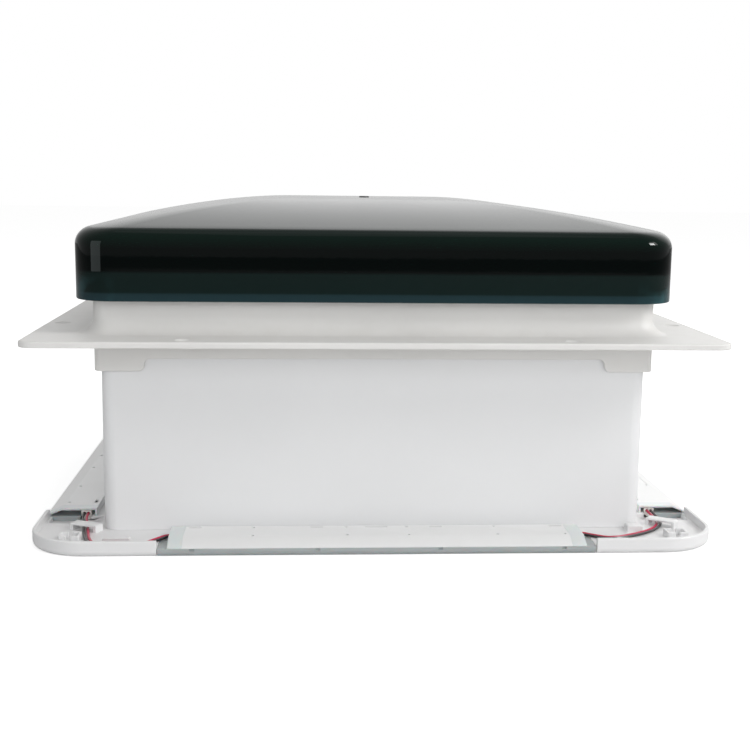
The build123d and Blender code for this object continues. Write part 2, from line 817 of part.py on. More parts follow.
# Edge lamps, drawn for the front side and turned to the others
def make_light_guide(half, cover_end):
    guide = trim_blank() & block(-half, half, -trim_half - over, guide_depth - trim_half,
                                 trim_bottom - over, floor_top)
    for share in lamp_slot_shares:
        x = half * share
        length, depth = guide_notch
        guide = guide - block(x - length / 2, x + length / 2, -trim_half - over, depth - trim_half,
                              floor_top - depth, floor_top + over)
    return guide - socket_wells(half, cover_end)


# The two wells that a lamp's sockets stand in
def socket_wells(half, cover_end):
    width = socket_size[1] / 2 + slip
    well = block(cover_end + socket_end_gap - slip, half + over, -socket_place - width, width - socket_place,
                 floor_top - socket_well, floor_top + over)
    return well + left_of(well)


def cover_points(inset):
    front = -trim_half + slip + inset
    slope = lamp_rear + cover_flat_depth
    return [(-lamp_rear - inset, floor_top - (over if inset else 0)), (-lamp_rear - inset, rim_top - inset),
            (-slope, rim_top - inset), (front + inset, floor_top + cover_lip),
            (front + inset, floor_top - (over if inset else 0))]


def make_lamp_cover(half, cover_end):
    cover = prism_x(cover_points(0), -cover_end, cover_end)
    cover = cover - prism_x(cover_points(cover_wall), -cover_end - over, cover_end + over)
    row = -lamp_rear - slot_row_inset
    for share in lamp_slot_shares:
        cover = cover - top_slot(half * share, row, lamp_slot)
    cover = cover - top_slot(0, row, lamp_middle_slot)
    second = row - hole_row_inset
    for share in lamp_hole_shares:
        cover = cover - top_hole(half * share, row) - top_hole(half * share, second)
    return cover - top_hole(half * lamp_end_hole_share, second)


def top_slot(x, y, size):
    length, width = size
    return block(x - length / 2, x + length / 2, y - width / 2, y + width / 2, rim_top - cover_wall - over,
                 rim_top + over)


def top_hole(x, y):
    return rod_z(rim_top - cover_wall - over, rim_top + over, x, y, lamp_hole_r)


# A hood at each end of a cover, open at its outer end, over the wire socket
def make_end_flap(cover_end):
    flap = prism_x(cover_points(0), cover_end, cover_end + flap_length)
    return flap - prism_x(cover_points(cover_wall), cover_end - over, cover_end + flap_length + over)


def make_led_board(cover_end):
    half = cover_end - board_end_gap
    rear = guide_depth - trim_half - cover_wall
    board = block(-half, half, rear - board_depth, rear, floor_top, floor_top + board_thick)
    count = int(2 * half / led_pitch)
    first = -led_pitch * (count - 1) / 2
    middle = rear - board_depth / 2
    top = floor_top + board_thick
    for step in range(count):
        x = first + step * led_pitch
        board = board + block(x - led_size / 2, x + led_size / 2, middle - led_size / 2,
                              middle + led_size / 2, top - run_fit, top + led_height)
    return board


def make_socket(cover_end, side):
    length, width, height = socket_size
    start = cover_end + socket_end_gap
    low = floor_top - socket_well
    socket = block(start, start + length, -socket_place - width / 2, width / 2 - socket_place, low,
                   low + height)
    for offset in (-wire_pitch / 2, wire_pitch / 2):
        socket = socket - rod_x(start + length - socket_bore_depth, start + length + over,
                                offset - socket_place, wire_z(), socket_bore_r)
    return socket if side > 0 else left_of(socket)


def wire_z():
    return floor_top + wire_r + slip


# Lamp wires from socket to socket round a corner. Each route is listed for a right front corner, from
# the front lamp to the side lamp, as the middle of the pair; the pair runs side by side. The left
# corner's route is laid closer to the rim.
right_wire_route = [(139.2, -213.0), (146.8, -213.4), (154.2, -219.6), (163.4, -225.4), (174.6, -223.4),
                    (189.5, -214.8), (200.4, -206.2), (208.6, -195.0), (212.6, -181.8), (213.0, -168.0),
                    (213.0, -149.4)]
left_wire_route = [(139.2, -213.0), (147.0, -213.6), (152.6, -221.0), (159.4, -230.8), (171.0, -235.0),
                   (188.6, -235.2), (197.8, -230.0), (202.0, -219.6), (204.4, -208.0), (206.6, -196.0),
                   (208.4, -184.0), (211.8, -170.0), (213.0, -159.0), (213.0, -149.4)]


def wire_points(route, shift):
    points = []
    last = len(route) - 1
    for index, (x, y) in enumerate(route):
        before = Vector(*route[max(index - 1, 0)])
        after = Vector(*route[min(index + 1, last)])
        along = (after - before).normalized()
        points.append(Vector(x - along.Y * shift, y + along.X * shift, wire_z()))
    return points


def make_wire(route, shift, name):
    points = wire_points(route, shift)
    radii = []
    for before, here, after in zip(points, points[1:], points[2:]):
        turn = (here - before).get_angle(after - here)
        shorter = min((here - before).length, (after - here).length)
        radii.append(0.45 * shorter / tan(radians(turn / 2)))
    path = FilletPolyline(*points, radius=radii)
    section = Plane(origin=path @ 0, z_dir=path % 0) * Circle(wire_r)
    wire = sweep(section, path=path)
    expected = path.length * section.area
    print(name, "length", round(path.length, 1), "radii", [round(r, 1) for r in radii],
          "volume ratio", round(wire.volume / expected, 4))
    return wire


# Pleated blind and screen: rails, cassettes, cloth and pull bars
def make_guide_rail():
    rail = block(rail_inner_x, bay_half, -bay_half, bay_half, ledge_top, rail_top)
    for low in layer_bottoms:
        rail = rail - block(rail_inner_x - over, bay_half - rail_wall, -bay_end, bay_end, low,
                            low + layer_height)
    return rail & slab(bay_half, bay_corner + slip, ledge_top, rail_top)


def make_cassette():
    case = block(-rail_inner_x, rail_inner_x, -bay_half, -cassette_mouth, ledge_top, rail_top)
    for low in layer_bottoms:
        case = case - block(-rail_inner_x - over, rail_inner_x + over, -bay_end, over - cassette_mouth, low,
                            low + layer_height)
    return case


def make_pull_bar(layer):
    low = layer_bottoms[layer] + slip
    high = layer_bottoms[layer] + layer_height - slip
    half = bay_half - rail_wall - slip
    bar = block(-half, half, -bar_outer, -bar_inner, low, high)
    middle = (low + high) / 2
    groove = block(-half - over, half + over, -bar_outer - over, pull_bar_groove - bar_outer,
                   middle - pull_bar_groove / 2, middle + pull_bar_groove / 2)
    front = [e for e in bar.edges().filter_by(Axis.X) if e.center().Y > -bar_inner - slip]
    bar = fillet(front, pull_bar_groove / 2)
    return bar - groove


def make_pull_handle(layer):
    low = layer_bottoms[layer] + slip
    high = layer_bottoms[layer] + layer_height - slip
    tab = block(-handle_width / 2, handle_width / 2, -bar_inner, handle_reach - bar_inner, low, high)
    tab = fillet([e for e in tab.edges().filter_by(Axis.Z) if e.center().Y > handle_reach / 2 - bar_inner],
                 handle_round)
    length, width = handle_slot
    middle = handle_reach / 2 - bar_inner
    return tab - block(-length / 2, length / 2, middle - width / 2, middle + width / 2, low - over,
                       high + over)


def make_cloth(layer):
    low = layer_bottoms[layer] + slip
    high = layer_bottoms[layer] + layer_height - slip
    half = bay_half - rail_wall - 2 * slip
    return block(-half, half, slip - bay_end, -bar_outer - slip, low + slip, high - slip)


save("upper_frame", make_upper_frame())
save("rim_seal", make_rim_seal())
save("dome_outer", make_dome_outer())
save("dome_inner", make_dome_inner())
save("dome_carrier", make_carrier())
save("breather_plug", make_breather_plug())
save("hinge_leaf_right", make_hinge_leaf())
save("hinge_leaf_left", left_of(make_hinge_leaf()))
save("hinge_pins", group(make_hinge_pins()))
save("leaf_screws", group(make_leaf_screws()))
save("track_right", make_track())
save("track_left", left_of(make_track()))
save("track_screws", group(make_track_screws()))
save("shoe_right", make_shoe())
save("shoe_left", left_of(make_shoe()))
save("bow_arm_right", make_bow_arm())
save("bow_arm_left", left_of(make_bow_arm()))
save("bow_bar", make_bow_bar())
save("bow_grip", make_bow_grip())
save("bow_bracket_right", make_bow_bracket())
save("bow_bracket_left", left_of(make_bow_bracket()))
save("pivot_pins", group([make_pivot_pin(), left_of(make_pivot_pin())]))
save("bracket_screws", group(make_bracket_screws()))
save("bar_rest_right", make_bar_rest())
save("bar_rest_left", left_of(make_bar_rest()))
save("inner_liner", make_liner())
save("long_screws", group(make_long_screws()))
save("trim_frame", make_trim())
end_flaps = []
sockets = []
for turns, side_name in enumerate(("front", "right", "rear", "left")):
    half, cover_end = lamp_ends[turns]
    save("light_guide_" + side_name, turned(make_light_guide(half, cover_end), turns))
    save("lamp_cover_" + side_name, turned(make_lamp_cover(half, cover_end), turns))
    save("led_board_" + side_name, turned(make_led_board(cover_end), turns))
    flap = make_end_flap(cover_end)
    end_flaps += [turned(flap, turns), turned(left_of(flap), turns)]
    for side in (-1, 1):
        sockets.append(turned(make_socket(cover_end, side), turns))
save("lamp_end_flaps", group(end_flaps))
save("lamp_sockets", group(sockets))
for shift, wires_name in ((wire_pitch / 2, "red_wires"), (-wire_pitch / 2, "black_wires")):
    wire = make_wire(right_wire_route, shift, wires_name)
    left_wire = left_of(make_wire(left_wire_route, shift, "left " + wires_name))
    save(wires_name, group([wire, left_wire, rear_of(wire)]))
save("guide_rail_right", make_guide_rail())
save("guide_rail_left", left_of(make_guide_rail()))
save("cassette_front", make_cassette())
save("cassette_rear", rear_of(make_cassette()))
save("blind_cloth", make_cloth(0))
save("screen_cloth", rear_of(make_cloth(1)))
save("blind_bar", make_pull_bar(0))
save("screen_bar", rear_of(make_pull_bar(1)))
save("blind_handle", make_pull_handle(0))
save("screen_handle", rear_of(make_pull_handle(1)))
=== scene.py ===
import bpy
import bmesh
import json
import math
import random
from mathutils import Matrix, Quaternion, Vector


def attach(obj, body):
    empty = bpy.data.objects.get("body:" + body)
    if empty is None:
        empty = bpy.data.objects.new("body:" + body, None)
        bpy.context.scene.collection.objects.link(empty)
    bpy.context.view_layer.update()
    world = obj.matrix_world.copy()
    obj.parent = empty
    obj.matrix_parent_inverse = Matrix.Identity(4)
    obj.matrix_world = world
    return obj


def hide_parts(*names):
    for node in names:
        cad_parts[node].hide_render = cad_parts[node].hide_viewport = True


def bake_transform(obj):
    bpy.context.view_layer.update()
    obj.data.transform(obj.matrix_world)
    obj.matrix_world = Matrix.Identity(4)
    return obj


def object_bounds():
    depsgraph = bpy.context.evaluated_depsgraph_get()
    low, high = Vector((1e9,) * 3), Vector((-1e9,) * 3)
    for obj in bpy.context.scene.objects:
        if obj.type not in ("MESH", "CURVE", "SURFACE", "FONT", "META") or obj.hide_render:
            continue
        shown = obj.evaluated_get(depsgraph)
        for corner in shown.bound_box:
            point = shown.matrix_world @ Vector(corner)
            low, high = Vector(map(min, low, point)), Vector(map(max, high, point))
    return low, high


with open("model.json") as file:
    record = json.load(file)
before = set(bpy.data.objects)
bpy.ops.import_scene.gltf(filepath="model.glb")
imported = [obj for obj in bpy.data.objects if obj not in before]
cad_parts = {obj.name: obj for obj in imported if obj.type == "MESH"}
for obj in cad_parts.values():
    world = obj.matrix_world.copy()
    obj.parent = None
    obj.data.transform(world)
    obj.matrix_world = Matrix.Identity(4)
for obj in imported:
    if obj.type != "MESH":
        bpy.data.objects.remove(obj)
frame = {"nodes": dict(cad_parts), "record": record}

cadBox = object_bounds()
nodes = frame["nodes"]
mm = 0.001


# Modelling helpers
def makeActive(piece):
    bpy.ops.object.select_all(action="DESELECT")
    piece.select_set(True)
    bpy.context.view_layer.objects.active = piece


def openEdit(piece):
    makeActive(piece)
    bpy.ops.object.mode_set(mode="EDIT")
    return bmesh.from_edit_mesh(piece.data)


def closeEdit():
    bpy.ops.object.mode_set(mode="OBJECT")


def applyModifier(piece, kind, **settings):
    makeActive(piece)
    modifier = piece.modifiers.new(kind.lower(), kind)
    for key, value in settings.items():
        setattr(modifier, key, value)
    bpy.ops.object.modifier_apply(modifier=modifier.name)


def smoothByAngle(piece, degrees):
    makeActive(piece)
    bpy.ops.object.shade_smooth_by_angle(angle=math.radians(degrees))


# Shader helpers: every effect that several finishes share is a node group
def addNode(tree, kind, x, y, **settings):
    node = tree.nodes.new(kind)
    node.location = (x, y)
    for key, value in settings.items():
        setattr(node, key, value)
    return node


def setInputs(node, **values):
    for key, value in values.items():
        node.inputs[key.replace("_", " ")].default_value = value
    return node


def newGroup(name, inputs, outputs):
    group = bpy.data.node_groups.new(name, "ShaderNodeTree")
    for label, kind, value in inputs:
        socket = group.interface.new_socket(label, in_out="INPUT", socket_type=kind)
        socket.default_value = value
    for label, kind in outputs:
        group.interface.new_socket(label, in_out="OUTPUT", socket_type=kind)
    entry = addNode(group, "NodeGroupInput", -900, 0)
    leave = addNode(group, "NodeGroupOutput", 700, 0)
    return group, entry, leave


floatSocket = "NodeSocketFloat"
colorSocket = "NodeSocketColor"


def makeToneDrift():
    group, entry, leave = newGroup("toneDrift", [
        ("Colour", colorSocket, (0.8, 0.8, 0.8, 1)),
        ("Drift Colour", colorSocket, (0.7, 0.7, 0.7, 1)),
        ("Scale", floatSocket, 9),
        ("Amount", floatSocket, 0.5)], [("Colour", colorSocket)])
    place = addNode(group, "ShaderNodeTexCoord", -900, -220)
    cloud = setInputs(addNode(group, "ShaderNodeTexNoise", -600, -100), Detail=4, Roughness=0.55)
    spread = addNode(group, "ShaderNodeMapRange", -380, -100)
    setInputs(spread, From_Min=0.36, From_Max=0.66)
    share = addNode(group, "ShaderNodeMath", -160, -100, operation="MULTIPLY")
    mixed = addNode(group, "ShaderNodeMix", 200, 0, data_type="RGBA")
    group.links.new(place.outputs["Object"], cloud.inputs["Vector"])
    group.links.new(entry.outputs["Scale"], cloud.inputs["Scale"])
    group.links.new(cloud.outputs["Fac"], spread.inputs["Value"])
    group.links.new(spread.outputs["Result"], share.inputs[0])
    group.links.new(entry.outputs["Amount"], share.inputs[1])
    group.links.new(share.outputs[0], mixed.inputs["Factor"])
    group.links.new(entry.outputs["Colour"], mixed.inputs["A"])
    group.links.new(entry.outputs["Drift Colour"], mixed.inputs["B"])
    group.links.new(mixed.outputs["Result"], leave.inputs["Colour"])
    return group


def makeMouldGrain():
    group, entry, leave = newGroup("mouldGrain", [
        ("Fine Scale", floatSocket, 1400),
        ("Wave Scale", floatSocket, 24),
        ("Wave Share", floatSocket, 0.35)], [("Height", floatSocket)])
    place = addNode(group, "ShaderNodeTexCoord", -900, -220)
    fine = setInputs(addNode(group, "ShaderNodeTexNoise", -600, 120), Detail=3, Roughness=0.6)
    wave = setInputs(addNode(group, "ShaderNodeTexNoise", -600, -160), Detail=1, Roughness=0.4)
    mixed = addNode(group, "ShaderNodeMix", 200, 0, data_type="FLOAT")
    group.links.new(place.outputs["Object"], fine.inputs["Vector"])
    group.links.new(place.outputs["Object"], wave.inputs["Vector"])
    group.links.new(entry.outputs["Fine Scale"], fine.inputs["Scale"])
    group.links.new(entry.outputs["Wave Scale"], wave.inputs["Scale"])
    group.links.new(entry.outputs["Wave Share"], mixed.inputs["Factor"])
    group.links.new(fine.outputs["Fac"], mixed.inputs["A"])
    group.links.new(wave.outputs["Fac"], mixed.inputs["B"])
    group.links.new(mixed.outputs["Result"], leave.inputs["Height"])
    return group


def makeHandling():
    group, entry, leave = newGroup("handlingMarks", [
        ("Roughness", floatSocket, 0.4),
        ("Smear", floatSocket, 0.12),
        ("Scratch", floatSocket, 0.2),
        ("Scratch Scale", floatSocket, 60)], [("Roughness", floatSocket)])
    place = addNode(group, "ShaderNodeTexCoord", -900, -320)
    smear = setInputs(addNode(group, "ShaderNodeTexNoise", -600, 160), Scale=14, Detail=5, Roughness=0.62)
    centred = addNode(group, "ShaderNodeMath", -380, 160, operation="SUBTRACT")
    centred.inputs[1].default_value = 0.5
    smeared = addNode(group, "ShaderNodeMath", -180, 160, operation="MULTIPLY_ADD")
    stretch = addNode(group, "ShaderNodeMapping", -700, -160)
    setInputs(stretch, Scale=(1, 9, 4), Rotation=(0.2, 0.1, 0.7))
    lines = setInputs(addNode(group, "ShaderNodeTexNoise", -480, -160), Detail=2, Roughness=0.5)
    thin = addNode(group, "ShaderNodeMapRange", -260, -160)
    setInputs(thin, From_Min=0.63, From_Max=0.7)
    marks = addNode(group, "ShaderNodeMath", -60, -160, operation="MULTIPLY")
    total = addNode(group, "ShaderNodeMath", 300, 60, operation="ADD", use_clamp=True)
    group.links.new(place.outputs["Object"], smear.inputs["Vector"])
    group.links.new(smear.outputs["Fac"], centred.inputs[0])
    group.links.new(centred.outputs[0], smeared.inputs[0])
    group.links.new(entry.outputs["Smear"], smeared.inputs[1])
    group.links.new(entry.outputs["Roughness"], smeared.inputs[2])
    group.links.new(place.outputs["Object"], stretch.inputs["Vector"])
    group.links.new(stretch.outputs["Vector"], lines.inputs["Vector"])
    group.links.new(entry.outputs["Scratch Scale"], lines.inputs["Scale"])
    group.links.new(lines.outputs["Fac"], thin.inputs["Value"])
    group.links.new(thin.outputs["Result"], marks.inputs[0])
    group.links.new(entry.outputs["Scratch"], marks.inputs[1])
    group.links.new(smeared.outputs[0], total.inputs[0])
    group.links.new(marks.outputs[0], total.inputs[1])
    group.links.new(total.outputs[0], leave.inputs["Roughness"])
    return group


def makeSettledDust():
    group, entry, leave = newGroup("settledDust", [
        ("Colour", colorSocket, (0.8, 0.8, 0.8, 1)),
        ("Dust Colour", colorSocket, (0.55, 0.52, 0.47, 1)),
        ("Amount", floatSocket, 0.15),
        ("Edge Colour", colorSocket, (0.9, 0.9, 0.9, 1)),
        ("Edge Amount", floatSocket, 0.3)], [("Colour", colorSocket)])
    place = addNode(group, "ShaderNodeTexCoord", -900, -320)
    parts = addNode(group, "ShaderNodeSeparateXYZ", -700, -200)
    upward = addNode(group, "ShaderNodeMapRange", -500, -200)
    setInputs(upward, From_Min=0.1, From_Max=0.9)
    specks = setInputs(addNode(group, "ShaderNodeTexNoise", -700, -420), Scale=70, Detail=6, Roughness=0.7)
    patch = addNode(group, "ShaderNodeMapRange", -500, -420)
    setInputs(patch, From_Min=0.42, From_Max=0.72)
    settled = addNode(group, "ShaderNodeMath", -280, -300, operation="MULTIPLY")
    amount = addNode(group, "ShaderNodeMath", -100, -300, operation="MULTIPLY")
    dusty = addNode(group, "ShaderNodeMix", 120, -80, data_type="RGBA")
    shape = addNode(group, "ShaderNodeNewGeometry", -700, 300)
    ridge = addNode(group, "ShaderNodeMapRange", -500, 300)
    setInputs(ridge, From_Min=0.52, From_Max=0.62)
    rubbed = addNode(group, "ShaderNodeMath", -280, 300, operation="MULTIPLY")
    worn = addNode(group, "ShaderNodeMix", 400, 0, data_type="RGBA")
    group.links.new(place.outputs["Normal"], parts.inputs["Vector"])
    group.links.new(parts.outputs["Z"], upward.inputs["Value"])
    group.links.new(place.outputs["Object"], specks.inputs["Vector"])
    group.links.new(specks.outputs["Fac"], patch.inputs["Value"])
    group.links.new(upward.outputs["Result"], settled.inputs[0])
    group.links.new(patch.outputs["Result"], settled.inputs[1])
    group.links.new(settled.outputs[0], amount.inputs[0])
    group.links.new(entry.outputs["Amount"], amount.inputs[1])
    group.links.new(amount.outputs[0], dusty.inputs["Factor"])
    group.links.new(entry.outputs["Colour"], dusty.inputs["A"])
    group.links.new(entry.outputs["Dust Colour"], dusty.inputs["B"])
    group.links.new(shape.outputs["Pointiness"], ridge.inputs["Value"])
    group.links.new(ridge.outputs["Result"], rubbed.inputs[0])
    group.links.new(entry.outputs["Edge Amount"], rubbed.inputs[1])
    group.links.new(rubbed.outputs[0], worn.inputs["Factor"])
    group.links.new(dusty.outputs["Result"], worn.inputs["A"])
    group.links.new(entry.outputs["Edge Colour"], worn.inputs["B"])
    group.links.new(worn.outputs["Result"], leave.inputs["Colour"])
    return group


def makeDrawnGrain():
    group, entry, leave = newGroup("drawnGrain", [
        ("Scale", floatSocket, 300),
        ("Along", "NodeSocketVector", (0.02, 1, 1))], [("Height", floatSocket)])
    place = addNode(group, "ShaderNodeTexCoord", -900, -120)
    stretch = addNode(group, "ShaderNodeVectorMath", -700, -120, operation="MULTIPLY")
    lines = setInputs(addNode(group, "ShaderNodeTexNoise", -450, -60), Detail=4, Roughness=0.7)
    group.links.new(place.outputs["Object"], stretch.inputs[0])
    group.links.new(entry.outputs["Along"], stretch.inputs[1])
    group.links.new(stretch.outputs["Vector"], lines.inputs["Vector"])
    group.links.new(entry.outputs["Scale"], lines.inputs["Scale"])
    group.links.new(lines.outputs["Fac"], leave.inputs["Height"])
    return group


def makeWovenCloth():
    group, entry, leave = newGroup("wovenCloth", [
        ("Threads", floatSocket, 1800),
        ("Warp Colour", colorSocket, (0.8, 0.8, 0.8, 1)),
        ("Weft Colour", colorSocket, (0.7, 0.7, 0.7, 1))],
        [("Colour", colorSocket), ("Height", floatSocket)])
    cloth = addNode(group, "ShaderNodeUVMap", -900, -120, uv_map="cloth")
    parts = addNode(group, "ShaderNodeSeparateXYZ", -720, -120)
    waves = []
    for label, y in (("X", 160), ("Y", -240)):
        turns = addNode(group, "ShaderNodeMath", -520, y, operation="MULTIPLY")
        sine = addNode(group, "ShaderNodeMath", -340, y, operation="SINE")
        lifted = addNode(group, "ShaderNodeMapRange", -160, y)
        setInputs(lifted, From_Min=-1, From_Max=1)
        group.links.new(parts.outputs[label], turns.inputs[0])
        group.links.new(entry.outputs["Threads"], turns.inputs[1])
        group.links.new(turns.outputs[0], sine.inputs[0])
        group.links.new(sine.outputs[0], lifted.inputs["Value"])
        waves.append(lifted)
    over = addNode(group, "ShaderNodeMath", 60, 160, operation="MAXIMUM")
    mixed = addNode(group, "ShaderNodeMix", 280, 60, data_type="RGBA")
    group.links.new(cloth.outputs["UV"], parts.inputs["Vector"])
    for socket, wave in zip(over.inputs, waves):
        group.links.new(wave.outputs["Result"], socket)
    group.links.new(waves[0].outputs["Result"], mixed.inputs["Factor"])
    group.links.new(entry.outputs["Warp Colour"], mixed.inputs["A"])
    group.links.new(entry.outputs["Weft Colour"], mixed.inputs["B"])
    group.links.new(mixed.outputs["Result"], leave.inputs["Colour"])
    group.links.new(over.outputs[0], leave.inputs["Height"])
    return group


effects = {
    "drift": makeToneDrift(),
    "grain": makeMouldGrain(),
    "handling": makeHandling(),
    "dust": makeSettledDust(),
    "drawn": makeDrawnGrain(),
    "weave": makeWovenCloth(),
}
print("effects ready:", len(effects))


def placeEffect(tree, effect, x, y, **values):
    node = addNode(tree, "ShaderNodeGroup", x, y, node_tree=effects[effect])
    return setInputs(node, **values)


def newMaterial(name, **shaderValues):
    material = bpy.data.materials.new(name)
    material.use_nodes = True
    tree = material.node_tree
    shader = tree.nodes["Principled BSDF"]
    setInputs(shader, **shaderValues)
    return material, tree, shader


def grade(colour, factor):
    return tuple(min(1, channel * factor) for channel in colour) + (1,)


# Moulded plastics share one recipe: drifting tone, settled dust, rubbed edges, smears and a fine grain
def mouldedPlastic(name, colour, roughness, drift=0.93, dust=0.1, edge=1.06, grainDepth=0.02,
                   grainScale=1400, waveShare=0.35, **shaderValues):
    material, tree, shader = newMaterial(name, **shaderValues)
    tone = placeEffect(tree, "drift", -900, 300, Colour=grade(colour, 1), Drift_Colour=grade(colour, drift),
                       Scale=9, Amount=0.8)
    surface = placeEffect(tree, "dust", -600, 300, Amount=dust, Edge_Colour=grade(colour, edge),
                          Dust_Colour=grade((0.50, 0.47, 0.42), 1), Edge_Amount=0.5)
    marks = placeEffect(tree, "handling", -600, 0, Roughness=roughness, Smear=0.1, Scratch=0.03)
    grain = placeEffect(tree, "grain", -600, -260, Fine_Scale=grainScale, Wave_Share=waveShare)
    bump = setInputs(addNode(tree, "ShaderNodeBump", -300, -260), Strength=0.5, Distance=grainDepth * mm)
    tree.links.new(tone.outputs["Colour"], surface.inputs["Colour"])
    tree.links.new(surface.outputs["Colour"], shader.inputs["Base Color"])
    tree.links.new(marks.outputs["Roughness"], shader.inputs["Roughness"])
    tree.links.new(grain.outputs["Height"], bump.inputs["Height"])
    tree.links.new(bump.outputs["Normal"], shader.inputs["Normal"])
    return material


def drawnMetal(name, colour, roughness, along, scale=420, depth=0.012):
    material, tree, shader = newMaterial(name, Metallic=1.0)
    tone = placeEffect(tree, "drift", -900, 300, Colour=grade(colour, 1), Drift_Colour=grade(colour, 0.86),
                       Scale=26, Amount=0.7)
    marks = placeEffect(tree, "handling", -600, 0, Roughness=roughness, Smear=0.12, Scratch=0.12,
                        Scratch_Scale=140)
    drawn = placeEffect(tree, "drawn", -600, -260, Scale=scale, Along=along)
    bump = setInputs(addNode(tree, "ShaderNodeBump", -300, -260), Strength=0.5, Distance=depth * mm)
    tree.links.new(tone.outputs["Colour"], shader.inputs["Base Color"])
    tree.links.new(marks.outputs["Roughness"], shader.inputs["Roughness"])
    tree.links.new(drawn.outputs["Height"], bump.inputs["Height"])
    tree.links.new(bump.outputs["Normal"], shader.inputs["Normal"])
    return material


# The tinted dome: near black, with painted light in its colour: a painted see-through band where the carrier
# shows faintly through it, a painted teal glow in its lip and low round corners, and a lighter painted
# reflection from the shoulder up
domeTint = {
    "levels": (28, 33.2, 34.4, 47, 49, 64, 72, 78, 97),
    "colours": ((0.016, 0.038, 0.045), (0.013, 0.031, 0.036), (0.0045, 0.0125, 0.0115),
                (0.0045, 0.0115, 0.0105), (0.0004, 0.0016, 0.0014), (0.0004, 0.0016, 0.0014),
                (0.0014, 0.0080, 0.0055), (0.0030, 0.0090, 0.0070), (0.0050, 0.0095, 0.0080)),
    "cornerGlow": (0.030, 0.085, 0.095),
    "cornerFrom": 180,
    "cornerTo": 200,
    "glowTop": 46,
    "glowFull": 30,
    "patchScale": 38,
    "sagDepth": 0.25,
    "roughness": 0.04,
    "topRoughness": 0.2,
    "ior": 1.16,
}


def tintedAcrylic():
    material, tree, shader = newMaterial("tintedAcrylic", IOR=domeTint["ior"])
    place = addNode(tree, "ShaderNodeTexCoord", -1700, 100)
    parts = addNode(tree, "ShaderNodeSeparateXYZ", -1500, 100)
    tree.links.new(place.outputs["Object"], parts.inputs["Vector"])
    low, high = domeTint["levels"][0], domeTint["levels"][-1]
    # Bands by height: the near black tint with painted light in it, a painted teal glow at the lip, a
    # painted see-through band over the carrier and a lighter painted reflection from the shoulder up
    level = addNode(tree, "ShaderNodeMapRange", -1250, 200)
    setInputs(level, From_Min=low * mm, From_Max=high * mm)
    tree.links.new(parts.outputs["Z"], level.inputs["Value"])
    bands = addNode(tree, "ShaderNodeValToRGB", -1000, 200)
    ramp = bands.color_ramp
    while len(ramp.elements) < len(domeTint["levels"]):
        ramp.elements.new(0.5)
    for element, height, colour in zip(ramp.elements, domeTint["levels"], domeTint["colours"]):
        element.position = (height - low) / (high - low)
        element.color = grade(colour, 1)
    tree.links.new(level.outputs["Result"], bands.inputs["Fac"])
    # Painted teal glow low in the round corners, broken into patches and mixed over the bands
    near = []
    for label, y in (("X", -100), ("Y", -300)):
        size = addNode(tree, "ShaderNodeMath", -1250, y, operation="ABSOLUTE")
        ramped = addNode(tree, "ShaderNodeMapRange", -1050, y)
        setInputs(ramped, From_Min=domeTint["cornerFrom"] * mm, From_Max=domeTint["cornerTo"] * mm)
        tree.links.new(parts.outputs[label], size.inputs[0])
        tree.links.new(size.outputs[0], ramped.inputs["Value"])
        near.append(ramped)
    lower = addNode(tree, "ShaderNodeMapRange", -1050, -500)
    setInputs(lower, From_Min=domeTint["glowTop"] * mm, From_Max=domeTint["glowFull"] * mm)
    tree.links.new(parts.outputs["Z"], lower.inputs["Value"])
    corner = addNode(tree, "ShaderNodeMath", -820, -200, operation="MULTIPLY")
    glow = addNode(tree, "ShaderNodeMath", -620, -300, operation="MULTIPLY")
    cloud = addNode(tree, "ShaderNodeTexNoise", -1050, -720)
    setInputs(cloud, Scale=domeTint["patchScale"], Detail=2)
    broken = addNode(tree, "ShaderNodeMapRange", -820, -720)
    setInputs(broken, From_Min=0.44, From_Max=0.6)
    paintedGlowMask = addNode(tree, "ShaderNodeMath", -420, -400, operation="MULTIPLY")
    tree.links.new(place.outputs["Object"], cloud.inputs["Vector"])
    tree.links.new(cloud.outputs["Fac"], broken.inputs["Value"])
    tree.links.new(near[0].outputs["Result"], corner.inputs[0])
    tree.links.new(near[1].outputs["Result"], corner.inputs[1])
    tree.links.new(corner.outputs[0], glow.inputs[0])
    tree.links.new(lower.outputs["Result"], glow.inputs[1])
    tree.links.new(glow.outputs[0], paintedGlowMask.inputs[0])
    tree.links.new(broken.outputs["Result"], paintedGlowMask.inputs[1])
    tinted = addNode(tree, "ShaderNodeMix", -200, 200, data_type="RGBA")
    tinted.inputs["B"].default_value = grade(domeTint["cornerGlow"], 1)
    tree.links.new(paintedGlowMask.outputs[0], tinted.inputs["Factor"])
    tree.links.new(bands.outputs["Color"], tinted.inputs["A"])
    tree.links.new(tinted.outputs["Result"], shader.inputs["Base Color"])
    facing = addNode(tree, "ShaderNodeSeparateXYZ", -1500, 560)
    weathered = addNode(tree, "ShaderNodeMapRange", -1250, 560)
    setInputs(weathered, From_Min=0.55, From_Max=0.95, To_Min=domeTint["roughness"],
              To_Max=domeTint["topRoughness"])
    marks = placeEffect(tree, "handling", -600, 500, Smear=0.05, Scratch=0.02, Scratch_Scale=90)
    tree.links.new(place.outputs["Normal"], facing.inputs["Vector"])
    tree.links.new(facing.outputs["Z"], weathered.inputs["Value"])
    tree.links.new(weathered.outputs["Result"], marks.inputs["Roughness"])
    tree.links.new(marks.outputs["Roughness"], shader.inputs["Roughness"])
    sag = placeEffect(tree, "grain", -600, 760, Fine_Scale=55, Wave_Scale=9, Wave_Share=0.7)
    bump = addNode(tree, "ShaderNodeBump", -300, 760)
    setInputs(bump, Strength=0.4, Distance=domeTint["sagDepth"] * mm)
    tree.links.new(sag.outputs["Height"], bump.inputs["Height"])
    tree.links.new(bump.outputs["Normal"], shader.inputs["Normal"])
    return material


